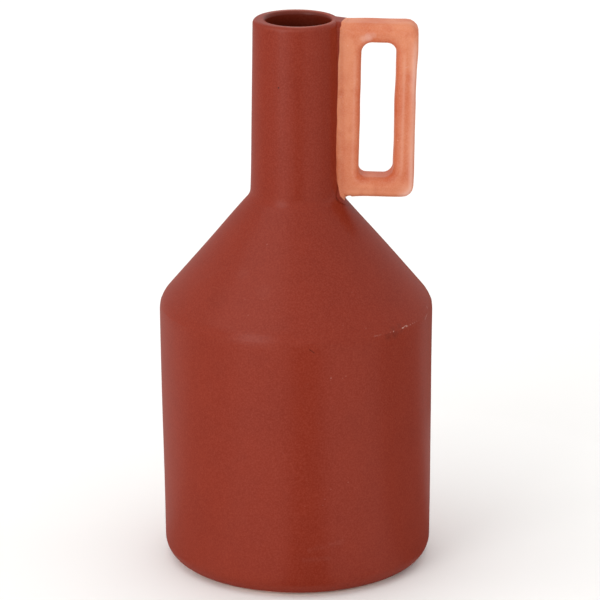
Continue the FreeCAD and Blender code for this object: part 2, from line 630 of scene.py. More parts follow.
    def slip_line(self, joint: Joint, outer_count: int, bead_count: int) -> Array:
        """The half section of the slip in a joint, once round it.

        Outside it follows the wall. Indoors the slip is pinched up into a bead, most of
        half a circle across the joint.

        Args:
            joint: the joint.
            outer_count: how many points lie on the wall.
            bead_count: how many points lie on the bead.

        Returns:
            The points, as (radius, height).
        """
        low, high = (self.cuts(joint, rise)[0] for rise in (-self.slip / 2, self.slip / 2))
        seat = self.inside().at(np.array([self.cuts(joint, 0.0)[1]]))[0]
        swing = np.linspace(math.pi / 2, -math.pi / 2, bead_count)
        beaded = (
            seat
            - joint.outward() * self.bead * np.cos(swing)[:, None] * self.bead_squash
            + joint.upward() * self.bead * np.sin(swing)[:, None]
        )
        return np.concatenate([self.outside().at(np.linspace(low, high, outer_count)), beaded])

    def inside_shade_from(self, grid: Array, first_row: int) -> Array:
        """How much painted shade lies inside: none at first, even from a row on.

        Args:
            grid: the points in millimetres, with x, y, z last.
            first_row: the row that the painted shade starts on.

        Returns:
            One share for each point.
        """
        coat = np.zeros(grid.shape[:2])
        coat[first_row:] = self.inside_shade
        return coat

    def outer_radius(self, heights: Array) -> Array:
        """The outside radius at heights between the foot and the lip's flat top.

        Args:
            heights: the heights.

        Returns:
            One radius for each height.
        """
        run = self.outside()
        rising = slice(int(np.argmax(run.points[:, 0])), None)
        return np.interp(heights, run.points[rising, 1], run.points[rising, 0])

    def turned(self, profile: Array, columns: int) -> Array:
        """Carry a half section round the axis.

        A point of radius r and height z goes to (r cos a, r sin a, z) at each angle a. The
        wall then strays outwards by the unevenness, the axis drifts sideways towards the
        foot, and the mouth's inner edge sits a little nearer to the handle.

        Args:
            profile: the half section's points, as (radius, height).
            columns: how many angles.

        Returns:
            A grid of points, one row for each point of the half section.
        """
        angle = round_angles(columns)
        radius, height = profile[:, 0, None], profile[:, 1, None]
        around = np.stack([np.cos(angle), np.sin(angle)], axis=-1)[None]
        heights = np.broadcast_to(height[..., None], (len(profile), columns, 1))
        grid = np.concatenate([radius[..., None] * around, heights], axis=-1)
        grid[..., :2] += (self.stray(grid) * eased(radius, *self.uneven_radii))[..., None] * around
        grid[..., 0] += self.sideways(radius, height)
        return grid

    def stray(self, points: Array) -> Array:
        """How far the wall lies out from a true turned form, never outside its largest size."""
        return np.minimum(self.unevenness.at(points) - self.unevenness.height, -self.least_inset)

    def sideways(self, radius: Array, height: Array) -> Array:
        """How far points are moved towards the handle, or away from it where below zero.

        The foot drifts one way, the upper body and the top of the cone the other, as they
        do when a cup and a cone are luted by eye. The mouth's inner edge has its own shift.

        Args:
            radius: how far the points lie from the axis.
            height: their heights.

        Returns:
            One shift for each point.
        """
        drift = self.foot_drift * (1 - eased(height, 0, self.shoulder_height))
        drift = drift - self.body_lean * bell(height, *self.body_lean_bell)
        drift = drift - self.cone_lean * bell(height, *self.cone_lean_bell)
        rim = self.rim_middle().radius
        inner = 1 - eased(radius, rim - self.mouth_edge, rim + self.mouth_edge)
        return drift + self.mouth_shift * inner * eased(height, *self.mouth_heights)


@dataclass(frozen=True)
class Seam:
    """The ridge that shows where the cup and the shoulder were luted together.

    A wave is its count round the seam, its share and its phase. A chip is its angle and
    width in degrees and its strength. The teeth are their count round, their shift from
    row to row and their depth as a share.
    """

    ridge: float = 0.10
    ridge_width: float = 0.9
    ridge_waves: tuple[Wave, ...] = (
        (2, 0.35, 0.4), (5, 0.3, 1.9), (13, 0.25, 0.7), (29, 0.15, 0.0),
    )
    chip_height: float = 0.22
    chip_breaks: float = 0.25
    chip_grain: Pair = (9.1, 5.3)
    chip_teeth: Triple = (211.0, 1.7, 0.3)
    chip_places: tuple[Triple, ...] = (
        (-55.1, 1.6, 0.40), (-53.2, 0.9, 0.42), (-47.2, 0.5, 0.45), (-45.8, 0.7, 0.85),
        (-39.5, 1.3, 1.15), (-36.9, 0.9, 1.20), (-34.5, 0.9, 0.45), (-32.3, 0.5, 0.50),
        (-30.7, 0.5, 0.48), (-29.1, 0.5, 0.36),
    )

    def ridge_at(self, angle: Array) -> Array:
        """How proud the seam stands at each angle: a level that swells and fades round it."""
        return self.ridge * wavering(angle, 1.0, self.ridge_waves)

    def chips_at(self, angle: Array) -> Array:
        """How bare the slip lies at each angle: a few bells, each broken by a fine ripple.

        Args:
            angle: the angles, in radians.

        Returns:
            One share for each angle.
        """
        degrees = np.degrees((angle + math.pi) % TURN - math.pi)
        fine, coarse = self.chip_grain
        ripple = np.sin(degrees * fine) * np.sin(degrees * coarse + 1)
        broken = 1 - self.chip_breaks + self.chip_breaks * ripple
        return strongest(degrees, self.chip_places) * broken

    def proud_at(self, angle: Array, rows: int) -> Array:
        """How far the seam's edge stands out at the chips, row by row, with a rough tooth.

        Args:
            angle: the angles, in radians.
            rows: how many rows the edge has. The rows after them are the bead's, as many.

        Returns:
            The heights in millimetres, (rows * 2, angles).
        """
        count, shift, depth = self.chip_teeth
        across = np.concatenate([np.sin(np.linspace(0, math.pi, rows)), np.zeros(rows)])[:, None]
        rough = 1 - depth + depth * np.sin(angle * count + np.arange(rows * 2)[:, None] * shift)
        return self.chip_height * self.chips_at(angle)[None] * across * rough


@dataclass
class Body:
    """The cup and the shoulder cone, with the seam of slip between them."""

    vessel: Vessel
    seam: Seam
    columns: int = 360
    seam_columns: int = 1440
    seam_rows: int = 9
    step: float = 2.2
    inner_step: float = 5.0
    turn: float = 7.0
    bare_height: float = 1.45
    bare_waves: tuple[Wave, ...] = ((3, 0.35, 0.0), (7, 0.2, 2.0))
    coated: float = -5.0

    def ridged(self, profile: Array, columns: int) -> Array:
        """Turn a half section and raise the seam's ridge on it.

        The ridge is a bell of the distance from the joint's outer edge, and stands out
        along the joint's line.

        Args:
            profile: the half section's points.
            columns: how many angles.

        Returns:
            A grid of points.
        """
        joint = self.vessel.shoulder_joint()
        edge = self.vessel.outside().at(np.array([self.vessel.cuts(joint, 0.0)[0]]))[0]
        angle = round_angles(columns)
        away = np.linalg.norm(profile - edge, axis=1)[:, None]
        proud = self.seam.ridge_at(angle)[None] * bell(away, 0.0, self.seam.ridge_width)
        grid = self.vessel.turned(profile, columns)
        outward, upward = joint.outward()
        grid[..., 0] += proud * outward * np.cos(angle)
        grid[..., 1] += proud * outward * np.sin(angle)
        grid[..., 2] += proud * upward
        return grid

    def bare(self, grid: Array, outer_rows: int) -> Array:
        """How far each point lies past the edge of the coat, in millimetres.

        The coat stops a little above the standing ring, on a line that wavers. The joint's
        face and the inside count as coated all over.

        Args:
            grid: the points in millimetres, with x, y, z last.
            outer_rows: how many rows lie outside.

        Returns:
            One distance for each point, below zero under the coat.
        """
        angle = np.arctan2(grid[..., 1], grid[..., 0])
        past = wavering(angle, self.bare_height, self.bare_waves) - grid[..., 2]
        past[outer_rows:] = self.coated
        return past

    def cup(self) -> Skin:
        """The cup: foot ring, straight wall and half the bend, then back down the inside.

        Returns:
            The closed surface, with its poles on the axis.
        """
        inside = self.vessel.inside()
        top, inner_top = self.vessel.cuts(self.vessel.shoulder_joint(), -self.vessel.slip / 2)
        outer = self.vessel.outside().spaced(0.0, top, self.step, self.turn)[1:]
        inner = inside.spaced(inner_top, inside.end(), self.inner_step, self.turn)[:-1]
        grid = self.ridged(np.concatenate([outer, inner]), self.columns)
        heights = np.array([self.vessel.hollow_depth, inside.points[-1, 1]])
        drift = self.vessel.sideways(np.zeros(2), heights)
        poles = np.stack([drift, np.zeros(2), heights], axis=1)
        return Skin(grid, (poles[0], poles[1]), {
            "bare": self.bare(grid, len(outer)),
            # Painted shade on the inside rows.
            "inside": self.vessel.inside_shade_from(grid, len(outer)),
        })

    def cone(self) -> Skin:
        """The cone between the two joints, outside up and inside down.

        Returns:
            The closed surface.
        """
        half = self.vessel.slip / 2
        low, inner_low = self.vessel.cuts(self.vessel.shoulder_joint(), half)
        high, inner_high = self.vessel.cuts(self.vessel.neck_joint(), -half)
        outer = self.vessel.outside().spaced(low, high, self.step, self.turn)
        inner = self.vessel.inside().spaced(inner_high, inner_low, self.inner_step, self.turn)
        grid = self.ridged(np.concatenate([outer, inner]), self.columns)
        # The inside rows get painted shade.
        return Skin(grid, None, {"inside": self.vessel.inside_shade_from(grid, len(outer))})

    def slip_ring(self) -> Skin:
        """The slip in the shoulder joint: a slim ring with a rough outer edge.

        Its outer edge follows the ridge and stands further out at the chips.

        Returns:
            The closed surface.
        """
        rows = self.seam_rows
        profile = self.vessel.slip_line(self.vessel.shoulder_joint(), rows, rows)
        grid = self.ridged(profile, self.seam_columns)
        angle = round_angles(self.seam_columns)
        proud = self.seam.proud_at(angle, rows)
        grid[..., 0] += proud * np.cos(angle)
        grid[..., 1] += proud * np.sin(angle)
        outdoors = np.repeat([1.0, 0.0], rows)[:, None]
        return Skin(grid, None, {"chip": self.seam.chips_at(angle)[None] * outdoors})


# The paint's edge


@dataclass(frozen=True)
class PaintEdge:
    """Where the salmon coat of the handle gives way to the red of the vessel.

    At the lip the edge runs on the handle, and low down it slides onto the neck.
    """

    heights: tuple[float, ...] = (
        187.0, 191.5, 195.2, 199.1, 202.6, 209.0, 215.4, 233.8, 246.0, 261.0, 270.0, 281.0, 286.0,
    )
    places: tuple[float, ...] = (
        27.0, 24.8, 22.2, 21.3, 20.7, 20.2, 20.15, 20.45, 20.7, 21.1, 21.45, 21.8, 22.0,
    )
    top_front: float = 22.6
    top_back: float = 25.2
    top_half_depth: float = 7.5
    lip_heights: Pair = (281.6, 283.3)
    lowest: float = 191.7
    wander: Ripple = Ripple(height=0.12, shortest=5.0, longest=16.0, waves=7, seed=5)

    def past(self, points: Array) -> Array:
        """How far points lie on the salmon side of the edge, in millimetres.

        Args:
            points: places in millimetres.

        Returns:
            The distance, below zero on the red side.
        """
        x, y, z = points[..., 0], points[..., 1], points[..., 2]
        side = np.interp(z, self.heights, self.places)
        back = eased(y, -self.top_half_depth, self.top_half_depth)
        top = self.top_front + (self.top_back - self.top_front) * back
        edge = side + (top - side) * eased(z, *self.lip_heights)
        past = x - edge + self.wander.at(points)
        return np.minimum(past, z - self.lowest + self.wander.at(points[..., [1, 2, 0]]))


@dataclass
class Neck:
    """The neck and its lip, with the slim ring of slip under its foot.

    A share that sets in between two values is held as that pair. A sheen is a bell of painted sheen
    round the lip: its angle in radians, its width and its strength.
    """

    vessel: Vessel
    edge: PaintEdge
    columns: int = 300
    step: float = 1.3
    inner_step: float = 4.0
    turn: float = 7.0
    slip_rows: tuple[int, int] = (3, 7)
    unlapped: float = -20.0
    # These shape the painted shade inside the mouth, deeper at the back.
    back_shade_y: Pair = (-6.0, 12.0)
    front_shade_share: float = 0.25
    rim_shade_share: float = 0.49
    rim_shade_from: Pair = (0.5, 2.3)
    bore_shade_from: Pair = (2.0, 14.0)
    # These place the painted sheen on the lip.
    top_sheens: tuple[Triple, ...] = (
        (1.5, 0.8, 1.0), (-1.4, 0.6, 0.72), (-0.55, 0.35, 0.5),
    )
    top_sheen_width: float = 1.7
    outer_sheen: Triple = (-1.85, 0.65, 0.2)
    outer_sheen_width: float = 0.6
    outer_sheen_place: Pair = (0.2, 1.3)
    rim_drop: float = 1.0

    def tube(self) -> Skin:
        """The neck: out of the cove, up to the rounded lip, and down the bore.

        Returns:
            The closed surface.
        """
        outside = self.vessel.outside()
        low, inner_low = self.vessel.cuts(self.vessel.neck_joint(), self.vessel.slip / 2)
        outer = outside.spaced(low, outside.end(), self.step, self.turn)
        inner = self.vessel.inside().spaced(0.0, inner_low, self.inner_step, self.turn)[1:]
        grid = self.vessel.turned(np.concatenate([outer, inner]), self.columns)
        lap = self.edge.past(grid)
        lap[len(outer):] = self.unlapped
        # Painted shade inside the bore, none outside.
        shade_indoors = self.inside_shade(grid)
        shade_indoors[:len(outer)] = 0.0
        # The lip carries painted sheen and the bore painted shade.
        return Skin(grid, None, {"lap": lap, "lip": self.lip_sheen(grid), "inside": shade_indoors})

    def inside_shade(self, grid: Array) -> Array:
        """How much painted shade lies inside the mouth, from 0 to 1.

        It starts on the lip's inner half, sooner at the back, and deepens down the bore.

        Args:
            grid: the points in millimetres, with x, y, z last.

        Returns:
            One share for each point.
        """
        down = self.vessel.height - grid[..., 2]
        back = self.front_shade_share + (1 - self.front_shade_share) * eased(grid[..., 1], *self.back_shade_y)
        inward = self.vessel.rim_middle().radius - np.hypot(grid[..., 0], grid[..., 1])
        rim = eased(inward * back + down, *self.rim_shade_from)
        bore = eased(down, *self.bore_shade_from)
        return self.vessel.inside_shade * (self.rim_shade_share * rim + (1 - self.rim_shade_share) * bore)

    def lip_sheen(self, grid: Array) -> Array:
        """How strongly painted sheen lies on the lip, from 0 to 1.

        A bell across the lip's flat top swells at the back, the front and the right of the
        front. A fainter one lies on the outer round, a little left of the front. The place
        of the outer one is how far it lies out from the wall and down from the top.

        Args:
            grid: the points in millimetres, with x, y, z last.

        Returns:
            One share for each point.
        """
        radius = np.hypot(grid[..., 0], grid[..., 1])
        angle = np.arctan2(grid[..., 1], grid[..., 0])
        height = self.vessel.height
        rim = self.vessel.outer_radius(np.array([height - self.rim_drop]))[0]
        out, drop = self.outer_sheen_place
        from_outer = np.hypot(radius - rim - out, grid[..., 2] - (height - drop))
        from_top = np.hypot(radius - self.vessel.rim_middle().radius, grid[..., 2] - height)
        place, width, strength = self.outer_sheen
        outer = strength * bell(from_outer, 0.0, self.outer_sheen_width) * bell(angle, place, width)
        top = bell(from_top, 0.0, self.top_sheen_width) * strongest(angle, self.top_sheens)
        return outer + top

    def slip_ring(self) -> Skin:
        """The slip in the neck joint, wiped flush outside and beaded inside."""
        profile = self.vessel.slip_line(self.vessel.neck_joint(), *self.slip_rows)
        return Skin(self.vessel.turned(profile, self.columns))


# The handle


@dataclass(frozen=True)
class Groove:
    """A long dip that a finger left down the handle's front, in millimetres.

    It is a bell across x, about a line that wanders with z, and fades at both ends.
    """

    x: float
    wander: float
    wave: float
    phase: float
    slope: float
    width: float
    foot: Pair
    head: Pair
    middle: float = 240.0

    def at(self, x: Array, z: Array) -> Array:
        """How much of the dip lies at places on the front, from 0 to 1.

        Args:
            x: the places across the front.
            z: their heights.

        Returns:
            One share for each point.
        """
        line = self.x + self.wander * np.sin(z / self.wave + self.phase)
        across = bell(x, line + self.slope * (z - self.middle), self.width)
        return across * eased(z, *self.foot) * (1 - eased(z, *self.head))


@dataclass(frozen=True)
class Hand:
    """How far the maker's hand left the loop uneven, in millimetres.

    The pairs are the two places between which something sets in or fades, or a bell's
    centre and width. The outer leg has a step below its middle, a waist at it, and a swell
    above it. The underside sags beside the root.
    """

    ripple: Ripple = Ripple(height=0.13, shortest=14.0, longest=42.0, waves=12, seed=29)
    groove: float = 0.17
    settled: Pair = (0.5, 9.0)
    root_half_depth: float = 12.0
    outer_side: Pair = (59.5, 61.0)
    step: float = 0.55
    step_top: float = 243.0
    step_in: Pair = (0.0, 7.0)
    step_out: Pair = (9.0, 31.0)
    waist: float = 0.5
    waist_bell: Pair = (236.5, 12.0)
    swell: float = 0.35
    swell_heights: Pair = (258.0, 270.0)
    sag: float = 0.5
    sag_bell: Pair = (26.5, 4.5)
    sag_heights: Pair = (195.5, 198.5)

    def outer_swell(self, z: Array) -> Array:
        """How far the outer leg's outer side stands out or in at each height.

        Args:
            z: the heights.

        Returns:
            One distance for each height.
        """
        down = self.step_top - z
        step = self.step * eased(down, *self.step_in) * (1 - eased(down, *self.step_out))
        waist = self.waist * bell(z, *self.waist_bell)
        return self.swell * eased(z, *self.swell_heights) - waist - step


@dataclass(frozen=True)
class PoolingAndShade:
    """Where the handle's coat pools and where painted shade falls by the gap: a bell's centre or
    width, and each part's share.
    """

    face: Pair = (4.0, 1.5)
    gap_bell: Pair = (1.4, 1.7)
    gap: float = 0.55
    corner_place: Pair = (1.0, 0.5)
    corner_width: float = 3.4
    corner: float = 0.75
    groove: float = 0.35


@dataclass(frozen=True)
class PaintedHighlights:
    """Where painted highlights lie pale on the handle's swells: bells, ranges of x or z, and each
    part's share.
    """

    face: Pair = (2.5, 0.6)
    leg: Pair = (50.0, 54.0)
    gap_bell: Pair = (3.3, 0.75)
    gap: float = 0.16
    leg_gap: float = 0.06
    leg_shift: float = 0.8
    gap_heights: Pair = (204.0, 212.0)
    gap_top: Pair = (262.0, 272.0)
    corners: float = 0.85
    middle_bell: Pair = (40.2, 8.5)
    corner_heights: Pair = (194.0, 198.0)
    edge_bell: Pair = (1.4, 1.6)
    edge: float = 0.40
    high_edge: Triple = (258.0, 12.0, 0.40)
    low_edge: Triple = (205.0, 18.0, 0.30)
    edge_top: Pair = (270.0, 279.0)
    outer_corner: Pair = (57.5, 3.6)
    outer_corner_width: float = 3.6
    outer_corner_share: float = 0.3

    def beside_gap(self, distance: Array, x: Array, z: Array, leg: Array) -> Array:
        """The band that runs beside the gap, and round its lower corners.

        Args:
            distance: how far each point lies out from the gap's edge.
            x: the places along x.
            z: their heights.
            leg: how far each point lies on the outer leg, from 0 to 1.

        Returns:
            One share for each point.
        """
        centre, width = self.gap_bell
        band = bell(distance - self.leg_shift * leg, centre, width)
        band = band * (self.gap + self.leg_gap * leg)
        sides = 1 - bell(x, *self.middle_bell)
        low = self.corners * sides * eased(z, *self.corner_heights)
        return band * np.maximum(eased(z, *self.gap_heights), low) * (1 - eased(z, *self.gap_top))

    def beside_edge(self, inset: Array, z: Array, leg: Array) -> Array:
        """The band that runs down the outer leg, beside the outline.

        Args:
            inset: how far each point lies inside the outline.
            z: the heights.
            leg: how far each point lies on the outer leg, from 0 to 1.

        Returns:
            One share for each point.
        """
        level = self.edge
        for centre, width, share in (self.high_edge, self.low_edge):
            level = level + share * bell(z, centre, width)
        return bell(inset, *self.edge_bell) * leg * level * (1 - eased(z, *self.edge_top))


@dataclass(frozen=True)
class Cove:
    """The slip smoothed into a cove round the loop's root, in millimetres.

    It reaches so far along the neck and out over the loop at the sides. Two values each
    are added to these at the foot, the second one only at the front.
    """

    side: float = 1.3
    top_rise: float = 1.0
    top_run: float = 3.2
    foot_rise: Pair = (1.9, 0.7)
    foot_run: Pair = (2.0, 1.8)
    top_heights: Pair = (279.5, 283.7)
    foot_heights: Pair = (194.8, 199.5)
    front: Pair = (-8.0, 0.0)
    top_pinch: float = 0.2
    ramp: float = 0.75
    wave: Ripple = Ripple(height=0.12, shortest=6.0, longest=18.0, waves=6, seed=8)
    rows: int = 12
    shares: tuple[float, ...] = (0.2, 0.4, 0.6, 0.8, 0.94)
    rim_drop: float = 0.06


@dataclass
class LoopHandle:
    """The square loop, soft-edged, and the cove of slip that lutes it to the neck.

    Lengths are in millimetres and the lean in degrees. The gap's corners are the upper
    left, upper right, lower right and lower left one, and a pair of rays or sides counts
    the points along a level and along an upright side.
    """

    vessel: Vessel
    edge: PaintEdge
    hand: Hand = Hand()
    pooling_and_shade: PoolingAndShade = PoolingAndShade()
    painted_highlights: PaintedHighlights = PaintedHighlights()
    root: Cove = Cove()
    grooves: tuple[Groove, ...] = (
        Groove(x=23.4, wander=0.35, wave=11.0, phase=0.0, slope=-0.0075, width=1.0,
               foot=(199.0, 206.0), head=(268.0, 277.0)),
        Groove(x=55.4, wander=0.30, wave=9.0, phase=1.0, slope=0.012, width=1.15,
               foot=(203.0, 216.0), head=(262.0, 272.0)),
    )
    groove_share: float = 0.8
    groove_face: Pair = (-7.4, -5.5)
    depth: float = 15.5
    top_bar: float = 10.1
    foot_bar: float = 10.3
    inner_leg: float = 9.75
    outer_leg: float = 10.6
    gap: float = 17.4
    top_drop: float = 1.15
    foot_rise: float = 0.05
    lean: float = 1.1
    outer_corner: float = 5.6
    gap_corners: tuple[float, float, float, float] = (5.2, 4.8, 5.0, 3.7)
    edge_round: float = 3.0
    crown: float = 0.22
    face_heights: Pair = (150.0, 284.95)
    face_rows: int = 28
    side_rows: int = 10
    round_rows: int = 9
    corner_rays: int = 15
    side_rays: tuple[int, int] = (24, 130)
    root_sides: tuple[int, int] = (14, 90)
    fitting_rounds: int = 12
    neckward: float = -0.5

    def foot(self) -> float:
        """The height of the loop's underside, before it leans."""
        return self.vessel.neck_foot_height + self.foot_rise

    def top(self) -> float:
        """The height of the loop's upper side, before it leans."""
        return self.vessel.height - self.top_drop

    def gap_left(self) -> float:
        """Where the gap begins, seen from the axis."""
        return self.vessel.neck_foot_radius - self.vessel.neck_taper / 2 + self.inner_leg

    def centre(self) -> Array:
        """The middle of the gap, about which the loop leans."""
        return np.array([self.gap_left() + self.gap / 2, (self.foot() + self.top()) / 2])

    def rays(self) -> tuple[Array, Array]:
        """Starting points round the gap's edge, and the directions out from them.

        Returns:
            The points and the unit directions, as (x, z), once round from the upper left.
        """
        left, right = self.gap_left(), self.gap_left() + self.gap
        low, high = self.foot() + self.foot_bar, self.top() - self.top_bar
        upper_left, upper_right, lower_right, lower_left = self.gap_corners
        hubs = (
            (left + upper_left, high - upper_left), (right - upper_right, high - upper_right),
            (right - lower_right, low + lower_right), (left + lower_left, low + lower_left),
        )
        return rounded_rectangle(
            hubs, self.gap_corners, 180, -90, self.corner_rays, self.side_rays * 2
        )

    def reach(self, start: Array, out: Array, inset: Array) -> Array:
        """How far rays run to the loop's outline, moved inwards by an inset.

        A ray stops at the nearest of the three straight sides. Where that lies in the
        square of a rounded corner it stops at the circle instead.

        Args:
            start: the rays' starting points, (rays, 1, 2).
            out: the rays' directions, (rays, 1, 2).
            inset: how far inside the outline to stop, (1, places).

        Returns:
            The distance along each ray, (rays, places).
        """
        right = self.gap_left() + self.gap + self.outer_leg
        sides = []
        for axis, line, sign in ((0, right, 1), (1, self.top(), 1), (1, self.foot(), -1)):
            pace = np.maximum(out[..., axis] * sign, TINY)
            sides.append((sign * (line - start[..., axis]) - inset) / pace)
        straight = np.minimum.reduce(sides)
        hit = start + straight[..., None] * out
        mid = self.centre()[1]
        half = mid - self.foot() - self.outer_corner
        hub = np.stack(np.broadcast_arrays(
            right - self.outer_corner, mid + np.sign(hit[..., 1] - mid) * half
        ), axis=-1)
        cornered = (hit[..., 0] > hub[..., 0]) & (np.abs(hit[..., 1] - mid) > half)
        gap = start - hub
        along = np.sum(gap * out, axis=-1)
        circle = (self.outer_corner - inset) ** 2 - np.sum(gap * gap, axis=-1) + along**2
        return np.where(cornered, -along + np.sqrt(np.maximum(circle, 0)), straight)

    def neck_face(self, y: Array, z: Array) -> Array:
        """The neck's outside, as x where a line along x meets it.

        Args:
            y: the places across.
            z: their heights.

        Returns:
            One x for each place.
        """
        height = np.clip(z, *self.face_heights)
        radius = self.vessel.outer_radius(height)
        x = np.sqrt(np.maximum(radius**2 - y**2, 1))
        place = np.stack(np.broadcast_arrays(x, y, height), axis=-1)
        return x + self.vessel.stray(place) * radius / x

    def leaned(self, flat: Array) -> Array:
        """Turn (x, z) places about the middle of the gap by the lean.

        Args:
            flat: the places, with x and z last.

        Returns:
            The turned places.
        """
        angle = math.radians(self.lean)
        offset = flat - self.centre()
        x = offset[..., 0] * math.cos(angle) + offset[..., 1] * math.sin(angle)
        z = -offset[..., 0] * math.sin(angle) + offset[..., 1] * math.cos(angle)
        return self.centre() + np.stack([x, z], axis=-1)

    def section(self) -> tuple[Array, Array, Array]:
        """The loop's section, once round it.

        Returns:
            For each place the share of the way out from the gap's edge to the outline, the
            distance kept from whichever of the two is nearer, and the place across in y.
        """
        turn = np.linspace(0, math.pi / 2, self.round_rows)
        sunk = self.edge_round * (1 - np.sin(turn))
        back = self.edge_round * (1 - np.cos(turn))
        half = self.depth / 2
        face = np.linspace(0, 1, self.face_rows + 2)[1:-1]
        side = np.linspace(-1, 1, self.side_rows + 2)[1:-1] * (half - self.edge_round)
        level = np.zeros(self.side_rows)
        share = np.concatenate([np.zeros(self.round_rows), face, np.ones(self.round_rows)])
        keep = np.concatenate([back, np.full(self.face_rows, self.edge_round), back[::-1]])
        crowned = -half - self.crown * np.sin(face * math.pi) ** 2
        front = np.concatenate([-half + sunk, crowned, -half + sunk[::-1]])
        return (
            np.concatenate([share, level + 1, share[::-1], level]),
            np.concatenate([keep, level, keep[::-1], level]),
            np.concatenate([front, side, -front[::-1], -side]),
        )

    def loop(self) -> Skin:
        """The loop as a grid: rays round the gap by places round the section.

        Each point lies on its ray, between the gap's edge and the outline. On the neck's
        side the ray stops at the saddle, a slip's thickness off the neck, which is found
        by stepping to the neck's face again and again.

        Returns:
            The closed surface, which closes on itself both ways.
        """
        start, out = (part[:, None, :] for part in self.rays())
        share, keep, y = (part[None] for part in self.section())
        near = np.where(share == 0, keep, self.edge_round)
        far = self.reach(start, out, np.where(share == 1, keep, self.edge_round))
        base, tip = self.leaned(start), self.leaned(start + out)
        lean_out = tip - base
        leftward = lean_out[..., 0] < self.neckward
        pace = np.where(leftward, lean_out[..., 0], -1)
        run = np.full_like(far, self.inner_leg)
        for _ in range(self.fitting_rounds):
            z = base[..., 1] + run * lean_out[..., 1]
            wall = self.neck_face(np.broadcast_to(y, z.shape), z) + self.vessel.slip
            run = np.where(leftward, (wall - base[..., 0]) / pace, run)
        far = np.where(leftward, np.minimum(far, run), far)
        distance = near + (far - near) * share
        distance = np.where(share == 0, near, np.where(share == 1, far, distance))
        flat = base + distance[..., None] * lean_out
        grid = np.stack(np.broadcast_arrays(flat[..., 0], y, flat[..., 1]), axis=-1).copy()
        grid += self.normals(grid) * self.unevenness(grid)[..., None]
        outline = self.reach(start, out, np.zeros_like(keep))
        return Skin(grid, None, {
            "lap": self.edge.past(grid),
            # Pools of coat, with painted shade by the gap and in its lower corners.
            "thick_and_shaded": self.pooled_and_shaded(grid, distance),
            # Painted highlights beside the edges.
            "painted_highlight": self.painted_highlight_share(grid, distance, outline - distance),
        })

    @staticmethod
    def normals(grid: Array) -> Array:
        """The outward unit directions of a grid that closes both ways, from its neighbours.

        Args:
            grid: the points in millimetres, with x, y, z last.

        Returns:
            One direction for each point.
        """
        along = np.roll(grid, -1, axis=0) - np.roll(grid, 1, axis=0)
        across = np.roll(grid, -1, axis=1) - np.roll(grid, 1, axis=1)
        normal = np.cross(along, across)
        normal /= np.maximum(np.linalg.norm(normal, axis=-1, keepdims=True), TINY)
        centre = grid.mean(axis=1, keepdims=True)
        return normal * np.sign(np.sum(normal * (grid - centre)))

    def unevenness(self, grid: Array) -> Array:
        """How far the clay stands out or in, fading away towards the neck.

        Beside the root the underside sags a little instead.

        Args:
            grid: the points in millimetres, with x, y, z last.

        Returns:
            One distance for each point.
        """
        hand = self.hand
        x, y, z = np.moveaxis(grid, -1, 0)
        away = x - self.neck_face(np.clip(y, -hand.root_half_depth, hand.root_half_depth), z)
        uneven = hand.ripple.at(grid) - hand.groove * self.grooved(grid)
        uneven = uneven + hand.outer_swell(z) * eased(x, *hand.outer_side)
        sag = hand.sag * bell(x, *hand.sag_bell) * (1 - eased(z, *hand.sag_heights))
        return uneven * eased(away, *hand.settled) + sag

    def grooved(self, grid: Array) -> Array:
        """How much of the two dips down the front lies at each point, from 0 to 1.

        Args:
            grid: the points in millimetres, with x, y, z last.

        Returns:
            One share for each point.
        """
        x, y, z = np.moveaxis(grid, -1, 0)
        dips = sum(self.groove_share * groove.at(x, z) for groove in self.grooves)
        return dips * (1 - eased(y, *self.groove_face))

    def faced(self, grid: Array, insets: Pair) -> Array:
        """Rise from 0 to 1 towards the front and the back, between two depths under them."""
        return eased(np.abs(grid[..., 1]), *(self.depth / 2 - inset for inset in insets))

    def pooled_and_shaded(self, grid: Array, distance: Array) -> Array:
        """How deep the colour lies, from 0 to 1: pools of coat with painted shade by the gap and in
        its lower corners, and pools of coat in dips.

        Args:
            grid: the loop's points.
            distance: how far each point lies out from the gap's edge.

        Returns:
            One share for each point.
        """
        pooling_and_shade = self.pooling_and_shade
        beside = bell(distance, *pooling_and_shade.gap_bell) * self.faced(grid, pooling_and_shade.face)
        inwards, upwards = pooling_and_shade.corner_place
        low = self.foot() + self.foot_bar + upwards
        corners = self.leaned(np.array([
            (self.gap_left() + inwards, low), (self.gap_left() + self.gap - inwards, low),
        ]))
        flat = grid[..., [0, 2]]
        # Painted shade with the pools of coat in the gap's lower corners.
        corners_pooled_and_shaded = sum(
            bell(np.linalg.norm(flat - corner, axis=-1), 0.0, pooling_and_shade.corner_width)
            for corner in corners
        )
        thick_and_shaded = pooling_and_shade.gap * beside + pooling_and_shade.corner * corners_pooled_and_shaded
        return np.clip(thick_and_shaded + pooling_and_shade.groove * self.grooved(grid), 0, 1)

    def painted_highlight_share(self, grid: Array, distance: Array, inset: Array) -> Array:
        """How strongly painted highlight lies, from 0 to 1: over the long swell beside each edge.

        One band stands off the gap's edge and goes on round the gap's lower corners. The
        other stands off the outline down the outer leg, and a spot lies on its lower corner.

        Args:
            grid: the loop's points.
            distance: how far each point lies out from the gap's edge.
            inset: how far each point lies inside the outline.

        Returns:
            One share for each point.
        """
        painted_highlights = self.painted_highlights
        x, _, z = np.moveaxis(grid, -1, 0)
        leg = eased(x, *painted_highlights.leg)
        across, up = painted_highlights.outer_corner
        corner = self.leaned(np.array([across, self.foot() + up]))
        spot = bell(np.hypot(x - corner[0], z - corner[1]), 0.0, painted_highlights.outer_corner_width)
        bands = painted_highlights.beside_gap(distance, x, z, leg) + painted_highlights.beside_edge(inset, z, leg)
        painted_highlight = np.clip(bands + painted_highlights.outer_corner_share * spot, 0, 1)
        return painted_highlight * self.faced(grid, painted_highlights.face)

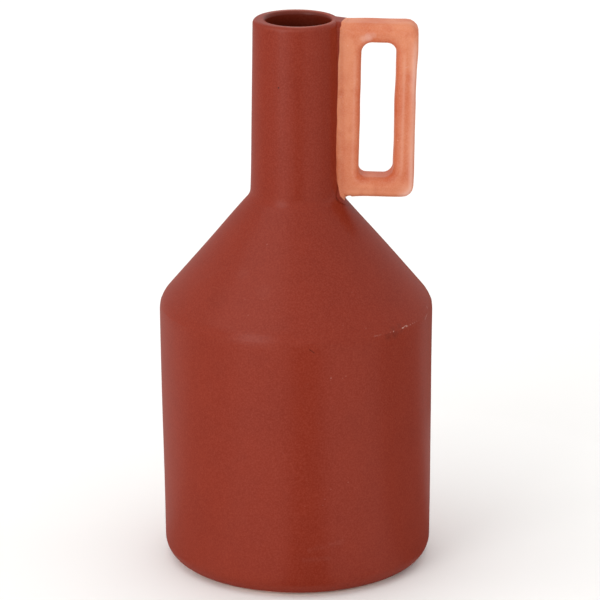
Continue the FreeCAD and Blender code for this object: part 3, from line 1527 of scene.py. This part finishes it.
    def root_outline(self) -> tuple[Array, Array]:
        """The outline of the loop where it meets the neck, and its outward directions.

        It is a rectangle with rounded corners, seen along x.

        Returns:
            The points and the unit directions, as (y, z), once round.
        """
        x = self.vessel.neck_foot_radius - self.centre()[0]
        tilt = -x * math.sin(math.radians(self.lean))
        half, bend = self.depth / 2 - self.edge_round, self.edge_round
        low, high = self.foot() + tilt + bend, self.top() + tilt - bend
        hubs = ((half, high), (-half, high), (-half, low), (half, low))
        return rounded_rectangle(hubs, (bend,) * 4, 0, 90, self.round_rows, self.root_sides * 2)

    def cove(self) -> Skin:
        """The slip behind the saddle, smoothed into a cove round the loop's root.

        Outside the loop it is a quarter of an ellipse from the neck's face up to the loop's:
        at an angle t it lies rise (1 - sin t) away from the loop along the neck, and
        run (1 - cos t) out from the neck. Over the loop, where the lip's round is filled,
        it is most of the way to a straight ramp. Behind the loop it is a slim sheet.

        Returns:
            The closed surface, which closes on itself both ways.
        """
        root = self.root
        outline, out = self.root_outline()
        y, z = outline.T
        nothing = np.zeros_like(y)
        upper = eased(z, *root.top_heights)
        lower = 1 - eased(z, *root.foot_heights)
        front = 1 - eased(y, *root.front)
        (rise_all, rise_front), (run_all, run_front) = root.foot_rise, root.foot_run
        rise = root.side + (root.top_rise - root.side) * upper
        rise = rise + (rise_all + rise_front * front) * lower
        run = root.side + root.top_run * upper + (run_all + run_front * front) * lower
        flat = np.stack([nothing, y, z], axis=-1)
        rise = rise * (1 + root.wave.at(flat)) * (1 - root.top_pinch * upper)
        run = run * (1 + root.wave.at(flat[..., [2, 0, 1]]))
        half = self.depth / 2
        spine = np.stack([nothing, np.clip(z, z.min() + half, z.max() - half)], axis=-1)
        inner = [spine + (outline - spine) * share for share in root.shares]
        sheet = np.full_like(y, self.vessel.slip)
        rows = [(place, nothing) for place in inner]
        for angle in np.radians(np.linspace(0, 90, root.rows)):
            fall = 1 - math.sin(angle)
            fall = fall + root.ramp * upper * (math.cos(angle) - fall)
            rows.append((outline + out * (rise * fall)[:, None], run * (1 - math.cos(angle))))
        rows += [(place, sheet) for place in (outline, *inner[::-1])]
        yz = np.stack([place for place, _ in rows])
        x = self.neck_face(yz[..., 0], yz[..., 1]) + np.stack([proud for _, proud in rows])
        z = np.minimum(yz[..., 1], self.vessel.height - root.rim_drop)
        grid = np.stack([x, yz[..., 0], z], axis=-1)
        return Skin(grid, None, {"lap": self.edge.past(grid)})


# Finishes


class Recipe:
    """The node tree of a finish while it is built."""

    def __init__(self, owner: bpy.types.Material | bpy.types.World) -> None:
        """Take the tree of a material or a world, and empty it.

        Args:
            owner: the material or the world.
        """
        owner.use_nodes = True
        self.tree = owner.node_tree
        self.tree.nodes.clear()

    def add(self, kind: str, inputs: dict[int | str, Any] | None = None, **settings: Any) -> Any:
        """Add a node.

        Args:
            kind: the node's type name, without the word ShaderNode before it.
            inputs: for each input socket, by name or number, a value, a hex colour or the
                output to link.
            settings: the node's own properties.

        Returns:
            The node.
        """
        node = self.tree.nodes.new(f"ShaderNode{kind}")
        for name, value in settings.items():
            setattr(node, name, value)
        for key, value in (inputs or {}).items():
            if isinstance(value, Socket):
                self.tree.links.new(value, node.inputs[key])
            else:
                plain = linear_colour(value) if isinstance(value, str) else value
                node.inputs[key].default_value = plain
        return node

    @cached_property
    def place(self) -> Socket:
        """The place on the piece, in millimetres."""
        where = {0: self.add("TexCoord").outputs["Object"], "Scale": 1 / MM}
        return self.add("VectorMath", where, operation="SCALE").outputs[0]

    def share(self, name: str, low: float = 0.0, high: float = 1.0, most: float = 1.0) -> Socket:
        """Read an attribute as a share that runs from 0 at low to most at high.

        Args:
            name: the attribute, which reads 0 on a piece that has none.
            low: the value that gives 0.
            high: the value that gives the most.
            most: the largest share.

        Returns:
            The share's socket.
        """
        mark = self.add("Attribute", attribute_name=name).outputs["Fac"]
        limits = {"Value": mark, "From Min": low, "From Max": high, "To Max": most}
        return self.add("MapRange", limits).outputs[0]

    def layered(self, base: Tone, *layers: tuple[Socket | float, Tone]) -> Tone:
        """Lay colours over a base, one after another.

        Args:
            base: the lowest colour, a socket or a hex code.
            layers: for each layer how much of it shows, and its colour.

        Returns:
            The colour's socket.
        """
        colour = base
        for share, tone in layers:
            colour = self.add("Mix", {0: share, 6: colour, 7: tone}, data_type="RGBA").outputs[2]
        return colour


@dataclass(frozen=True)
class Coat:
    """One fired surface: its colours, how rough it is, and how strongly its grain shows."""

    colour: str
    deep: str
    pale: str
    roughness: float
    grain: float = 0.0


# An engobe is a thin clay slip with iron in it, poured or brushed on and fired without a
# glaze. It gives a close, eggshell-smooth skin: matt face on, with a soft sheen and a hazy
# pale rim where it turns away.
RED_ENGOBE = Coat(colour="#812611", deep="#77200D", pale="#9F4735", roughness=0.4, grain=0.29)

# The handle's coat has a little frit in it, so it fires smoother and slightly see-through: the
# colour runs deeper where it pools.
# Its deep tone also gives the painted shade by the gap, and its pale tone the painted highlights on
# the swells beside the edges.
SALMON_ENGOBE = Coat(colour="#D68662", deep="#BF5B35", pale="#EAB8A6", roughness=0.4, grain=0.12)

# The clay under the coats is a pale pinkish buff, dry and open, and shows only where it is bare.
BUFF_CLAY = Coat(colour="#D0A08E", deep="#A67C63", pale="#EBC8BD", roughness=0.85)

# Dirt that settled in a pit is near black, and the other dark marks take the same tone. The lip's
# painted sheen is a pale pink over the red.
# The inside gets painted shade: the engobe deepened towards near black, for the little light that
# reaches it.
PIT_DIRT = "#2A0E0A"
LIP_SHEEN_PINK = "#C27A6A"
SHADED_RED = "#1C0705"


@dataclass(frozen=True)
class Speck:
    """A round mark on the surface, in millimetres: where it is, its radius and its strength."""

    place: Triple
    radius: float
    strength: float


@dataclass(frozen=True)
class Scrape:
    """A long mark along a straight line, in millimetres."""

    start: Triple
    end: Triple
    width: float
    strength: float


def specks(*rows: tuple[float, float, float, float, float]) -> tuple[Speck, ...]:
    """Round marks from rows of x, y, z, radius and strength."""
    return tuple(Speck(row[:3], *row[3:]) for row in rows)


@dataclass(frozen=True)
class Wear:
    """The pale and dark marks on one piece of the vase, most picked up in making and handling."""

    pale: tuple[Speck | Scrape, ...] = ()
    dark: tuple[Speck | Scrape, ...] = ()


# Grit that stood proud and was rubbed pale, scuffs from handling, the two wiped smears low
# on the front, and below the seam a dark fleck and soft darker patches by the chips.
BODY_WEAR = Wear(
    pale=(
        *specks(
            (17.3, -67.7, 118.0, 0.55, 0.17), (16.9, -67.9, 116.9, 0.40, 0.12),
            (23.2, -65.9, 117.3, 0.40, 0.10), (24.7, -65.3, 118.2, 0.40, 0.10),
            (5.8, -69.6, 115.5, 0.35, 0.09), (18.3, -67.3, 103.1, 0.35, 0.09),
            (11.3, -68.7, 94.6, 0.35, 0.09), (11.4, -68.7, 90.9, 0.35, 0.09),
            (-6.6, -69.2, 78.9, 0.30, 0.07), (26.0, -64.3, 61.6, 0.40, 0.14),
            (17.4, -67.1, 58.9, 0.35, 0.09), (14.4, -67.8, 53.8, 0.40, 0.10),
            (13.4, -68.0, 50.6, 0.35, 0.09), (4.4, -69.2, 50.5, 0.35, 0.09),
        ),
        Scrape((6.9, -68.8, 26.7), (23.1, -65.2, 30.1), 2.2, 0.016),
        Scrape((3.9, -69.0, 21.3), (16.0, -67.2, 21.7), 1.9, 0.012),
        Scrape((65.3, -24.6, 134.6), (66.4, -20.6, 136.2), 0.55, 0.10),
    ),
    dark=(
        Scrape((6.6, -69.6, 133.6), (8.9, -69.3, 131.8), 0.35, 0.55),
        *specks(
            (46.2, -52.4, 135.0, 3.6, 0.17), (49.4, -49.3, 135.2, 3.8, 0.20),
            (52.6, -45.9, 135.9, 2.8, 0.13),
        ),
    ),
)

# The same on the cone, where the darker patches go on over the seam, and a wide faint darker patch
# on the left.
CONE_WEAR = Wear(
    pale=(
        *specks(
            (-4.1, -22.8, 193.8, 0.40, 0.15), (-14.6, -34.0, 177.2, 0.40, 0.15),
            (15.0, -24.2, 187.4, 0.40, 0.14), (20.5, -22.3, 185.2, 0.35, 0.09),
            (20.0, -26.5, 181.8, 0.35, 0.09), (-25.5, -50.7, 153.7, 0.35, 0.09),
            (-16.5, -53.5, 154.6, 0.35, 0.09), (-23.9, -57.2, 147.5, 0.40, 0.12),
            (27.8, -47.0, 156.2, 0.35, 0.09), (43.8, -23.7, 162.0, 0.40, 0.09),
            (34.7, -57.9, 140.9, 0.40, 0.09), (23.2, -61.1, 143.5, 0.35, 0.07),
            (66.6, -17.0, 138.6, 1.3, 0.07), (-26.6, -40.5, 163.6, 4.6, 0.008),
            (-16.0, -50.8, 157.9, 5.4, 0.007),
        ),
        Scrape((54.3, -43.2, 136.9), (55.5, -41.7, 137.1), 0.38, 0.30),
        Scrape((-50.6, -24.6, 154.3), (-34.7, -32.4, 164.7), 1.3, 0.008),
    ),
    dark=specks(
        (-40.9, -12.3, 170.4, 0.40, 0.27), (-39.1, -42.4, 152.6, 9.0, 0.04),
        (48.4, -49.6, 137.4, 2.6, 0.16), (51.8, -46.0, 137.8, 2.6, 0.13),
    ),
)

# One dark pit high on the neck's left.
NECK_WEAR = Wear(dark=specks((-8.8, -20.5, 254.4, 0.60, 0.95)))

# A pale painted glint under the handle's top bar, a hair of a crack on the outer leg, and pale
# grit.
HANDLE_WEAR_AND_GLINT = Wear(
    pale=(
        *specks(
            (33.8, -7.8, 276.2, 2.6, 0.20), (36.0, -7.8, 277.1, 3.2, 0.30),
            (38.4, -7.8, 278.2, 2.4, 0.14), (25.8, -7.8, 272.8, 0.55, 0.22),
            (51.2, -7.4, 223.7, 0.40, 0.35), (22.6, -7.6, 246.5, 0.80, 0.12),
        ),
        Scrape((54.6, -7.9, 261.4), (60.2, -6.6, 264.0), 0.40, 0.16),
    ),
)


@dataclass(frozen=True)
class Cloud:
    """A cloudy pattern: its size in millimetres, and the values that read as 0 and as full."""

    size: float
    low: float
    high: float
    detail: float = 3.0

    def at(self, recipe: Recipe, most: float = 1.0) -> Socket:
        """The pattern at each place, stretched to run from 0 to most.

        Args:
            recipe: the tree that is being built.
            most: the largest value.

        Returns:
            The value's socket.
        """
        inputs = {"Vector": recipe.place, "Scale": 1 / self.size, "Detail": self.detail}
        return recipe.add("MapRange", {
            "Value": recipe.add("TexNoise", inputs).outputs[0],
            "From Min": self.low, "From Max": self.high, "To Max": most,
        }).outputs[0]


@dataclass(frozen=True)
class ClayFinish:
    """An engobe-coated clay surface with its mottling, grain, wear, painted shade and sheen, and
    bare places.

    A name that ends in from holds where a share sets in and where it is full, and a third
    value is the most that it reaches. One that ends in most is such a value alone. The
    wave and the tooth are a size in millimetres, a detail and a height in millimetres.
    """

    name: str
    coat: Coat
    other: Coat | None = None
    wear: Wear = Wear()
    mottling: float = 0.35
    other_mottling: float = 0.8
    body_ior: float = 1.5
    skin: float = 0.25
    skin_roughness: float = 0.31
    skin_ior: float = 1.7
    lap_half: float = 0.12
    wide: Cloud = Cloud(24.0, 0.40, 0.68)
    blotches: Cloud = Cloud(7.0, 0.50, 0.72)
    blotch_share: float = 0.6
    pooled_and_shaded_most: float = 0.9
    painted_highlight_most: float = 0.8
    # The clay's own grain is about 0.1 mm, too fine for the render, so it is drawn at 0.8 mm.
    fine: Cloud = Cloud(0.8, 0.38, 0.70)
    grit_spacing: float = 8.0
    grit_radius: float = 0.24
    grit_core: float = 0.4
    grit_most: float = 0.25
    lip_sheen_most: float = 0.4
    scrape_breaks: Cloud = Cloud(3.5, 0.30, 0.66)
    broken_from: float = 0.6
    mark_core: float = 0.25
    bare_from: Pair = (0.02, 0.3)
    chip_from: Triple = (0.15, 1.0, 0.85)
    flakes: Cloud = Cloud(0.9, 0.42, 0.56)
    clay: Cloud = Cloud(1.4, 0.35, 0.65)
    sheen_clouds: Cloud = Cloud(12.0, 0.3, 0.7)
    sheen_spread: Pair = (-0.02, 0.03)
    wave: Triple = (9.0, 1.0, 0.05)
    tooth: Triple = (0.8, 2.0, 0.018)

    def material(self) -> bpy.types.Material:
        """Build the material.

        Returns:
            The material.
        """
        material = bpy.data.materials.new(self.name)
        recipe = Recipe(material)
        colour = self.coloured(recipe, self.coat, self.mottling)
        lapped: Socket | float = 0.0
        if self.other is not None:
            lapped = recipe.share("lap", -self.lap_half, self.lap_half)
            other = self.coloured(recipe, self.other, self.other_mottling)
            colour = recipe.layered(colour, (lapped, other))
        colour = self.wear_and_sheen(recipe, colour)
        # Painted shade inside the vase: the engobe deepened where little light reaches.
        colour = recipe.layered(colour, (recipe.share("inside"), SHADED_RED))
        colour, bare = self.uncoated(recipe, colour)
        relief = self.relief(recipe)
        shader = recipe.add("BsdfPrincipled", {
            "Base Color": colour,
            "Roughness": self.roughened(recipe, lapped, bare),
            "IOR": self.body_ior,
            "Specular IOR Level": 0.0,
            "Coat Weight": self.skin,
            "Coat Roughness": self.skin_roughness,
            "Coat IOR": self.skin_ior,
            "Normal": relief,
            "Coat Normal": relief,
        })
        recipe.add("OutputMaterial", {"Surface": shader.outputs[0]})
        return material

    def coloured(self, recipe: Recipe, coat: Coat, mottling: float) -> Tone:
        """The colour of one coat.

        Wide clouds and smaller blotches are where more of it went on. Where the geometry says that
        it pools, and where painted shade falls by the handle's gap, it is deepest. Painted
        highlights beside the handle's edges are paler. A fine grain of paler clay shows all over,
        and a grain of grit here and there.

        Args:
            recipe: the tree that is being built.
            coat: the coat.
            mottling: how strongly the thickness shows.

        Returns:
            The colour's socket.
        """
        near = self.grit_radius / self.grit_spacing
        grit = recipe.add("TexVoronoi", {"Vector": recipe.place, "Scale": 1 / self.grit_spacing})
        grains = recipe.add("MapRange", {
            "Value": grit.outputs["Distance"], "From Min": near,
            "From Max": near * self.grit_core, "To Max": self.grit_most,
        }).outputs[0]
        return recipe.layered(
            coat.colour,
            (self.wide.at(recipe, mottling), coat.deep),
            (self.blotches.at(recipe, mottling * self.blotch_share), coat.deep),
            # Pools of coat, with painted shade by the handle's gap.
            (recipe.share("thick_and_shaded", most=self.pooled_and_shaded_most), coat.deep),
            # Painted highlights beside the handle's edges.
            (recipe.share("painted_highlight", most=self.painted_highlight_most), coat.pale),
            (self.fine.at(recipe, coat.grain), coat.pale),
            (grains, coat.pale),
        )

    def wear_and_sheen(self, recipe: Recipe, colour: Tone) -> Tone:
        """Lay the pale and the dark marks over the colour, and the lip's painted sheen over these.

        Args:
            recipe: the tree that is being built.
            colour: the coats' colour.

        Returns:
            The colour's socket.
        """
        for marks, tone in ((self.wear.pale, BUFF_CLAY.pale), (self.wear.dark, PIT_DIRT)):
            shown: Socket | float = 0.0
            for mark in marks:
                both = {0: shown, 1: self.marked(recipe, mark)}
                shown = recipe.add("Math", both, operation="MAXIMUM").outputs[0]
            if marks:
                colour = recipe.layered(colour, (shown, tone))
        # Painted sheen on the lip, a pale pink over the red.
        return recipe.layered(colour, (recipe.share("lip", most=self.lip_sheen_most), LIP_SHEEN_PINK))

    def marked(self, recipe: Recipe, mark: Speck | Scrape) -> Socket:
        """How strongly a mark shows at each place.

        A speck fades with the distance from its middle. A scrape fades with the distance
        from the nearest point of its line, which is start + direction * t, where t is the
        place's own share along the line, held between 0 and 1. A cloudy pattern breaks
        a wide scrape up.

        Args:
            recipe: the tree that is being built.
            mark: the mark.

        Returns:
            The strength's socket.
        """
        if isinstance(mark, Speck):
            reach, ends = mark.radius, {0: recipe.place, 1: mark.place}
        else:
            reach = mark.width
            line = np.array(mark.end) - np.array(mark.start)
            inputs = {0: recipe.place, 1: mark.start}
            offset = recipe.add("VectorMath", inputs, operation="SUBTRACT").outputs[0]
            inputs = {0: offset, 1: tuple(line / (line @ line))}
            along = recipe.add("VectorMath", inputs, operation="DOT_PRODUCT")
            held = recipe.add("Clamp", {"Value": along.outputs["Value"]}).outputs[0]
            inputs = {0: tuple(line), "Scale": held}
            foot = recipe.add("VectorMath", inputs, operation="SCALE").outputs[0]
            ends = {0: offset, 1: foot}
        away = recipe.add("VectorMath", ends, operation="DISTANCE")
        shown = recipe.add("MapRange", {
            "Value": away.outputs["Value"], "From Min": reach,
            "From Max": reach * self.mark_core, "To Max": mark.strength,
        }, interpolation_type="SMOOTHSTEP").outputs[0]
        if isinstance(mark, Speck) or reach < self.broken_from:
            return shown
        both = {0: shown, 1: self.scrape_breaks.at(recipe)}
        return recipe.add("Math", both, operation="MULTIPLY").outputs[0]

    def uncoated(self, recipe: Recipe, colour: Tone) -> tuple[Tone, Socket]:
        """Show the buff clay past the coat's edge by the foot, and in the seam's chips.

        Args:
            recipe: the tree that is being built.
            colour: the coats' colour.

        Returns:
            The colour, and the share that is bare.
        """
        foot = recipe.share("bare", *self.bare_from)
        chips = {0: recipe.share("chip", *self.chip_from), 1: self.flakes.at(recipe)}
        chipped = recipe.add("Math", chips, operation="MULTIPLY").outputs[0]
        bare = recipe.add("Math", {0: foot, 1: chipped}, operation="MAXIMUM").outputs[0]
        clay = recipe.layered(BUFF_CLAY.colour, (self.clay.at(recipe), BUFF_CLAY.pale))
        return recipe.layered(colour, (bare, clay)), bare

    def roughened(self, recipe: Recipe, lapped: Socket | float, bare: Socket) -> Socket:
        """The roughness: each coat's own, a little uneven, and dry where the clay is bare.

        Args:
            recipe: the tree that is being built.
            lapped: the share that the other coat covers.
            bare: the share that is bare.

        Returns:
            The roughness's socket.
        """
        low, high = (self.coat.roughness + spread for spread in self.sheen_spread)
        shares = {"Value": self.sheen_clouds.at(recipe), "To Min": low, "To Max": high}
        uneven = recipe.add("MapRange", shares).outputs[0]
        other = (self.other or self.coat).roughness
        satin = recipe.add("Mix", {0: lapped, 2: uneven, 3: other}).outputs[0]
        return recipe.add("Mix", {0: bare, 2: satin, 3: BUFF_CLAY.roughness}).outputs[0]

    def relief(self, recipe: Recipe) -> Socket:
        """The fine tooth of the fired skin over the slow wave of hand smoothing, as a bump.

        Args:
            recipe: the tree that is being built.

        Returns:
            The bent normal's socket.
        """
        under: dict[str, Socket] = {}
        for size, detail, height in (self.wave, self.tooth):
            inputs = {"Vector": recipe.place, "Scale": 1 / size, "Detail": detail}
            bump = recipe.add("Bump", {
                "Height": recipe.add("TexNoise", inputs).outputs[0],
                "Distance": height * MM, "Strength": 1.0, **under,
            })
            under = {"Normal": bump.outputs[0]}
        return under["Normal"]


# Studio


@dataclass(frozen=True)
class Softbox:
    """A large soft light: the direction it stands in, how far off, its size and brightness.

    The direction is an angle round from the camera's side, to the right if positive, and
    an angle up. It faces the middle of the vase.
    """

    name: str
    azimuth: float
    elevation: float
    distance: float
    size: Pair
    brightness: float
    middle: float = 0.15

    def build(self) -> None:
        """Make the light and turn it towards the vase.

        A flat light of area A that looks as bright as b gives out pi A b watts.
        """
        turn, rise = math.radians(self.azimuth), math.radians(self.elevation)
        light = bpy.data.lights.new(self.name, "AREA")
        light.shape = "RECTANGLE"
        light.size, light.size_y = self.size
        light.energy = math.pi * self.size[0] * self.size[1] * self.brightness
        lamp = placed(self.name, light)
        level = self.distance * math.cos(rise)
        lamp.location = (
            level * math.sin(turn), -level * math.cos(turn),
            self.middle + self.distance * math.sin(rise),
        )
        lamp.rotation_euler = (math.pi / 2 - rise, 0.0, turn)
        lamp.visible_camera = False


@dataclass(frozen=True)
class Studio:
    """A pale floor in a pale room, soft lights, the cards that shape the sheen, the camera."""

    floor_half: float = 12.0
    floor_tone: str = "#FAF9F7"
    sky_tone: str = "#FFFFFF"
    sky: float = 0.92
    boxes: tuple[Softbox, ...] = (
        Softbox("left_softbox", -36.0, 14.0, 1.8, (0.75, 1.6), 2.35),
        Softbox("high_left_softbox", -60.0, 52.0, 1.9, (1.6, 1.2), 0.75),
        Softbox("top_softbox", 0.0, 89.0, 1.9, (1.6, 1.6), 0.08),
        Softbox("back_softbox", 180.0, 30.0, 2.2, (2.4, 1.4), 0.70),
    )
    cards: tuple[tuple[float, float, float, float, str], ...] = (
        (-7.0, 17.0, 4.0, 0.072, "#050505"), (58.0, 112.0, 12.0, 0.072, "#909090"),
        (-106.0, -58.0, 12.0, 0.072, "#C4C4C4"), (132.0, 174.0, 12.0, 0.24, "#B4AEA6"),
    )
    card_end: float = 1.5
    card_lift: float = 0.0005
    paper_roughness: float = 0.9
    camera_place: Triple = (0.0, -1.73245, 0.69393)
    camera_pitch: float = 17.82
    camera_yaw: float = 0.0646
    camera_reach: Pair = (0.05, 60.0)
    lens: float = 212.91
    sensor: float = 36.0

    def sheet(
        self, name: str, rows: Array, shade: str, shares: Sequence[float]
    ) -> bpy.types.Object:
        """A flat sheet of studio paper that may fade from the floor's tone to another.

        Args:
            name: the object's name, which its material takes too.
            rows: a grid of places in metres, with x, y, z last.
            shade: the hex colour that it fades to.
            shares: for each column of the grid how far it has faded, from 0 to 1.

        Returns:
            The object.
        """
        count = rows.shape[1]
        left = np.arange(count - 1)
        quads = np.stack([left, left + 1, left + 1 + count, left + count], axis=1)
        mesh = bpy.data.meshes.new(name)
        mesh.from_pydata(rows.reshape(-1, 3).tolist(), [], quads.tolist())
        layer = mesh.attributes.new("faded", "FLOAT", "POINT")
        layer.data.foreach_set("value", np.tile(shares, len(rows)).astype(np.float32))
        material = bpy.data.materials.new(f"{name}_paper")
        recipe = Recipe(material)
        faded = recipe.add("Attribute", attribute_name="faded").outputs["Fac"]
        shader = recipe.add("BsdfPrincipled", {
            "Base Color": recipe.layered(self.floor_tone, (faded, shade)),
            "Roughness": self.paper_roughness,
        })
        recipe.add("OutputMaterial", {"Surface": shader.outputs[0]})
        mesh.materials.append(material)
        sheet = placed(name, mesh)
        return sheet

    def floor(self) -> None:
        """A level sheet under the vase, as wide as the camera can see."""
        half = self.floor_half
        rows = np.array([[[x, y, 0.0] for x in (-half, half)] for y in (-half, half)])
        self.sheet("floor", rows, self.floor_tone, (0.0, 0.0))

    def grey_cards(self) -> None:
        """Grey and black cards with soft edges, laid on the floor round the vase.

        Only the sheen shows them, as the soft dark lines down a rounded thing that a
        photographer sets with such cards. Each is a fan from one turn to another, with the
        width of its soft edge, the distance at which it begins and its tone.
        """
        for number, (first, last, soft, near, tone) in enumerate(self.cards, 1):
            turns = np.radians([first - soft, first + soft, last - soft, last + soft])
            around = np.stack([np.sin(turns), -np.cos(turns), np.zeros(4)], axis=1)
            rows = np.stack([around * near, around * self.card_end])
            rows[..., 2] += self.card_lift
            card = self.sheet(f"soft_card_{number}", rows, tone, (0.0, 1.0, 1.0, 0.0))
            card.visible_camera = False
            card.visible_diffuse = False
            card.visible_shadow = False

    def surroundings(self) -> None:
        """An even pale room all round."""
        world = bpy.data.worlds.new("pale_room")
        recipe = Recipe(world)
        glow = recipe.add("Background", {"Color": self.sky_tone, "Strength": self.sky})
        recipe.add("OutputWorld", {"Surface": glow.outputs[0]})
        bpy.context.scene.world = world
        bpy.context.scene.view_settings.view_transform = "Standard"

    def camera(self) -> None:
        """The camera, level from side to side, looking down at the vase."""
        data = bpy.data.cameras.new("camera")
        data.lens, data.sensor_width = self.lens, self.sensor
        data.clip_start, data.clip_end = self.camera_reach
        camera = placed("camera", data)
        camera.location = self.camera_place
        pitch, yaw = math.radians(90 - self.camera_pitch), -math.radians(self.camera_yaw)
        camera.rotation_euler = (pitch, 0.0, yaw)
        bpy.context.scene.camera = camera

    def build(self) -> None:
        """Set up the whole studio."""
        self.floor()
        self.grey_cards()
        self.surroundings()
        for box in self.boxes:
            box.build()
        self.camera()


# Main


def main() -> None:
    """Build the vase and its studio."""
    logging.basicConfig(level=logging.INFO, format="%(name)s: %(message)s")
    vessel, seam, edge = Vessel(), Seam(), PaintEdge()
    body, neck, handle = Body(vessel, seam), Neck(vessel, edge), LoopHandle(vessel, edge)
    red, salmon = RED_ENGOBE, SALMON_ENGOBE
    cup_coat = ClayFinish("matt_red_engobe_on_cup", red, wear=BODY_WEAR).material()
    cone_coat = ClayFinish("matt_red_engobe_on_shoulder", red, wear=CONE_WEAR).material()
    neck_coat = ClayFinish("red_engobe_lapped_by_salmon", red, salmon, NECK_WEAR).material()
    loop_coat = ClayFinish("satin_salmon_engobe", red, salmon, HANDLE_WEAR_AND_GLINT).material()
    slip_coat = ClayFinish("luting_slip_under_engobe", red).material()
    install(body.cup().mesh("cup", crease=35), "lower_body", cup_coat)
    install(body.cone().mesh("shoulder_cone", crease=35), "shoulder", cone_coat)
    install(body.slip_ring().mesh("shoulder_seam", crease=50), "shoulder_slip", slip_coat)
    install(neck.tube().mesh("neck_tube", crease=35), "neck", neck_coat)
    install(neck.slip_ring().mesh("neck_seam", crease=35), "neck_slip", slip_coat)
    install(handle.loop().mesh("loop_handle", crease=50), "handle", loop_coat)
    install(handle.cove().mesh("handle_cove", crease=40), "handle_slip", loop_coat)
    Studio().build()


if __name__ == "__main__":
    main()
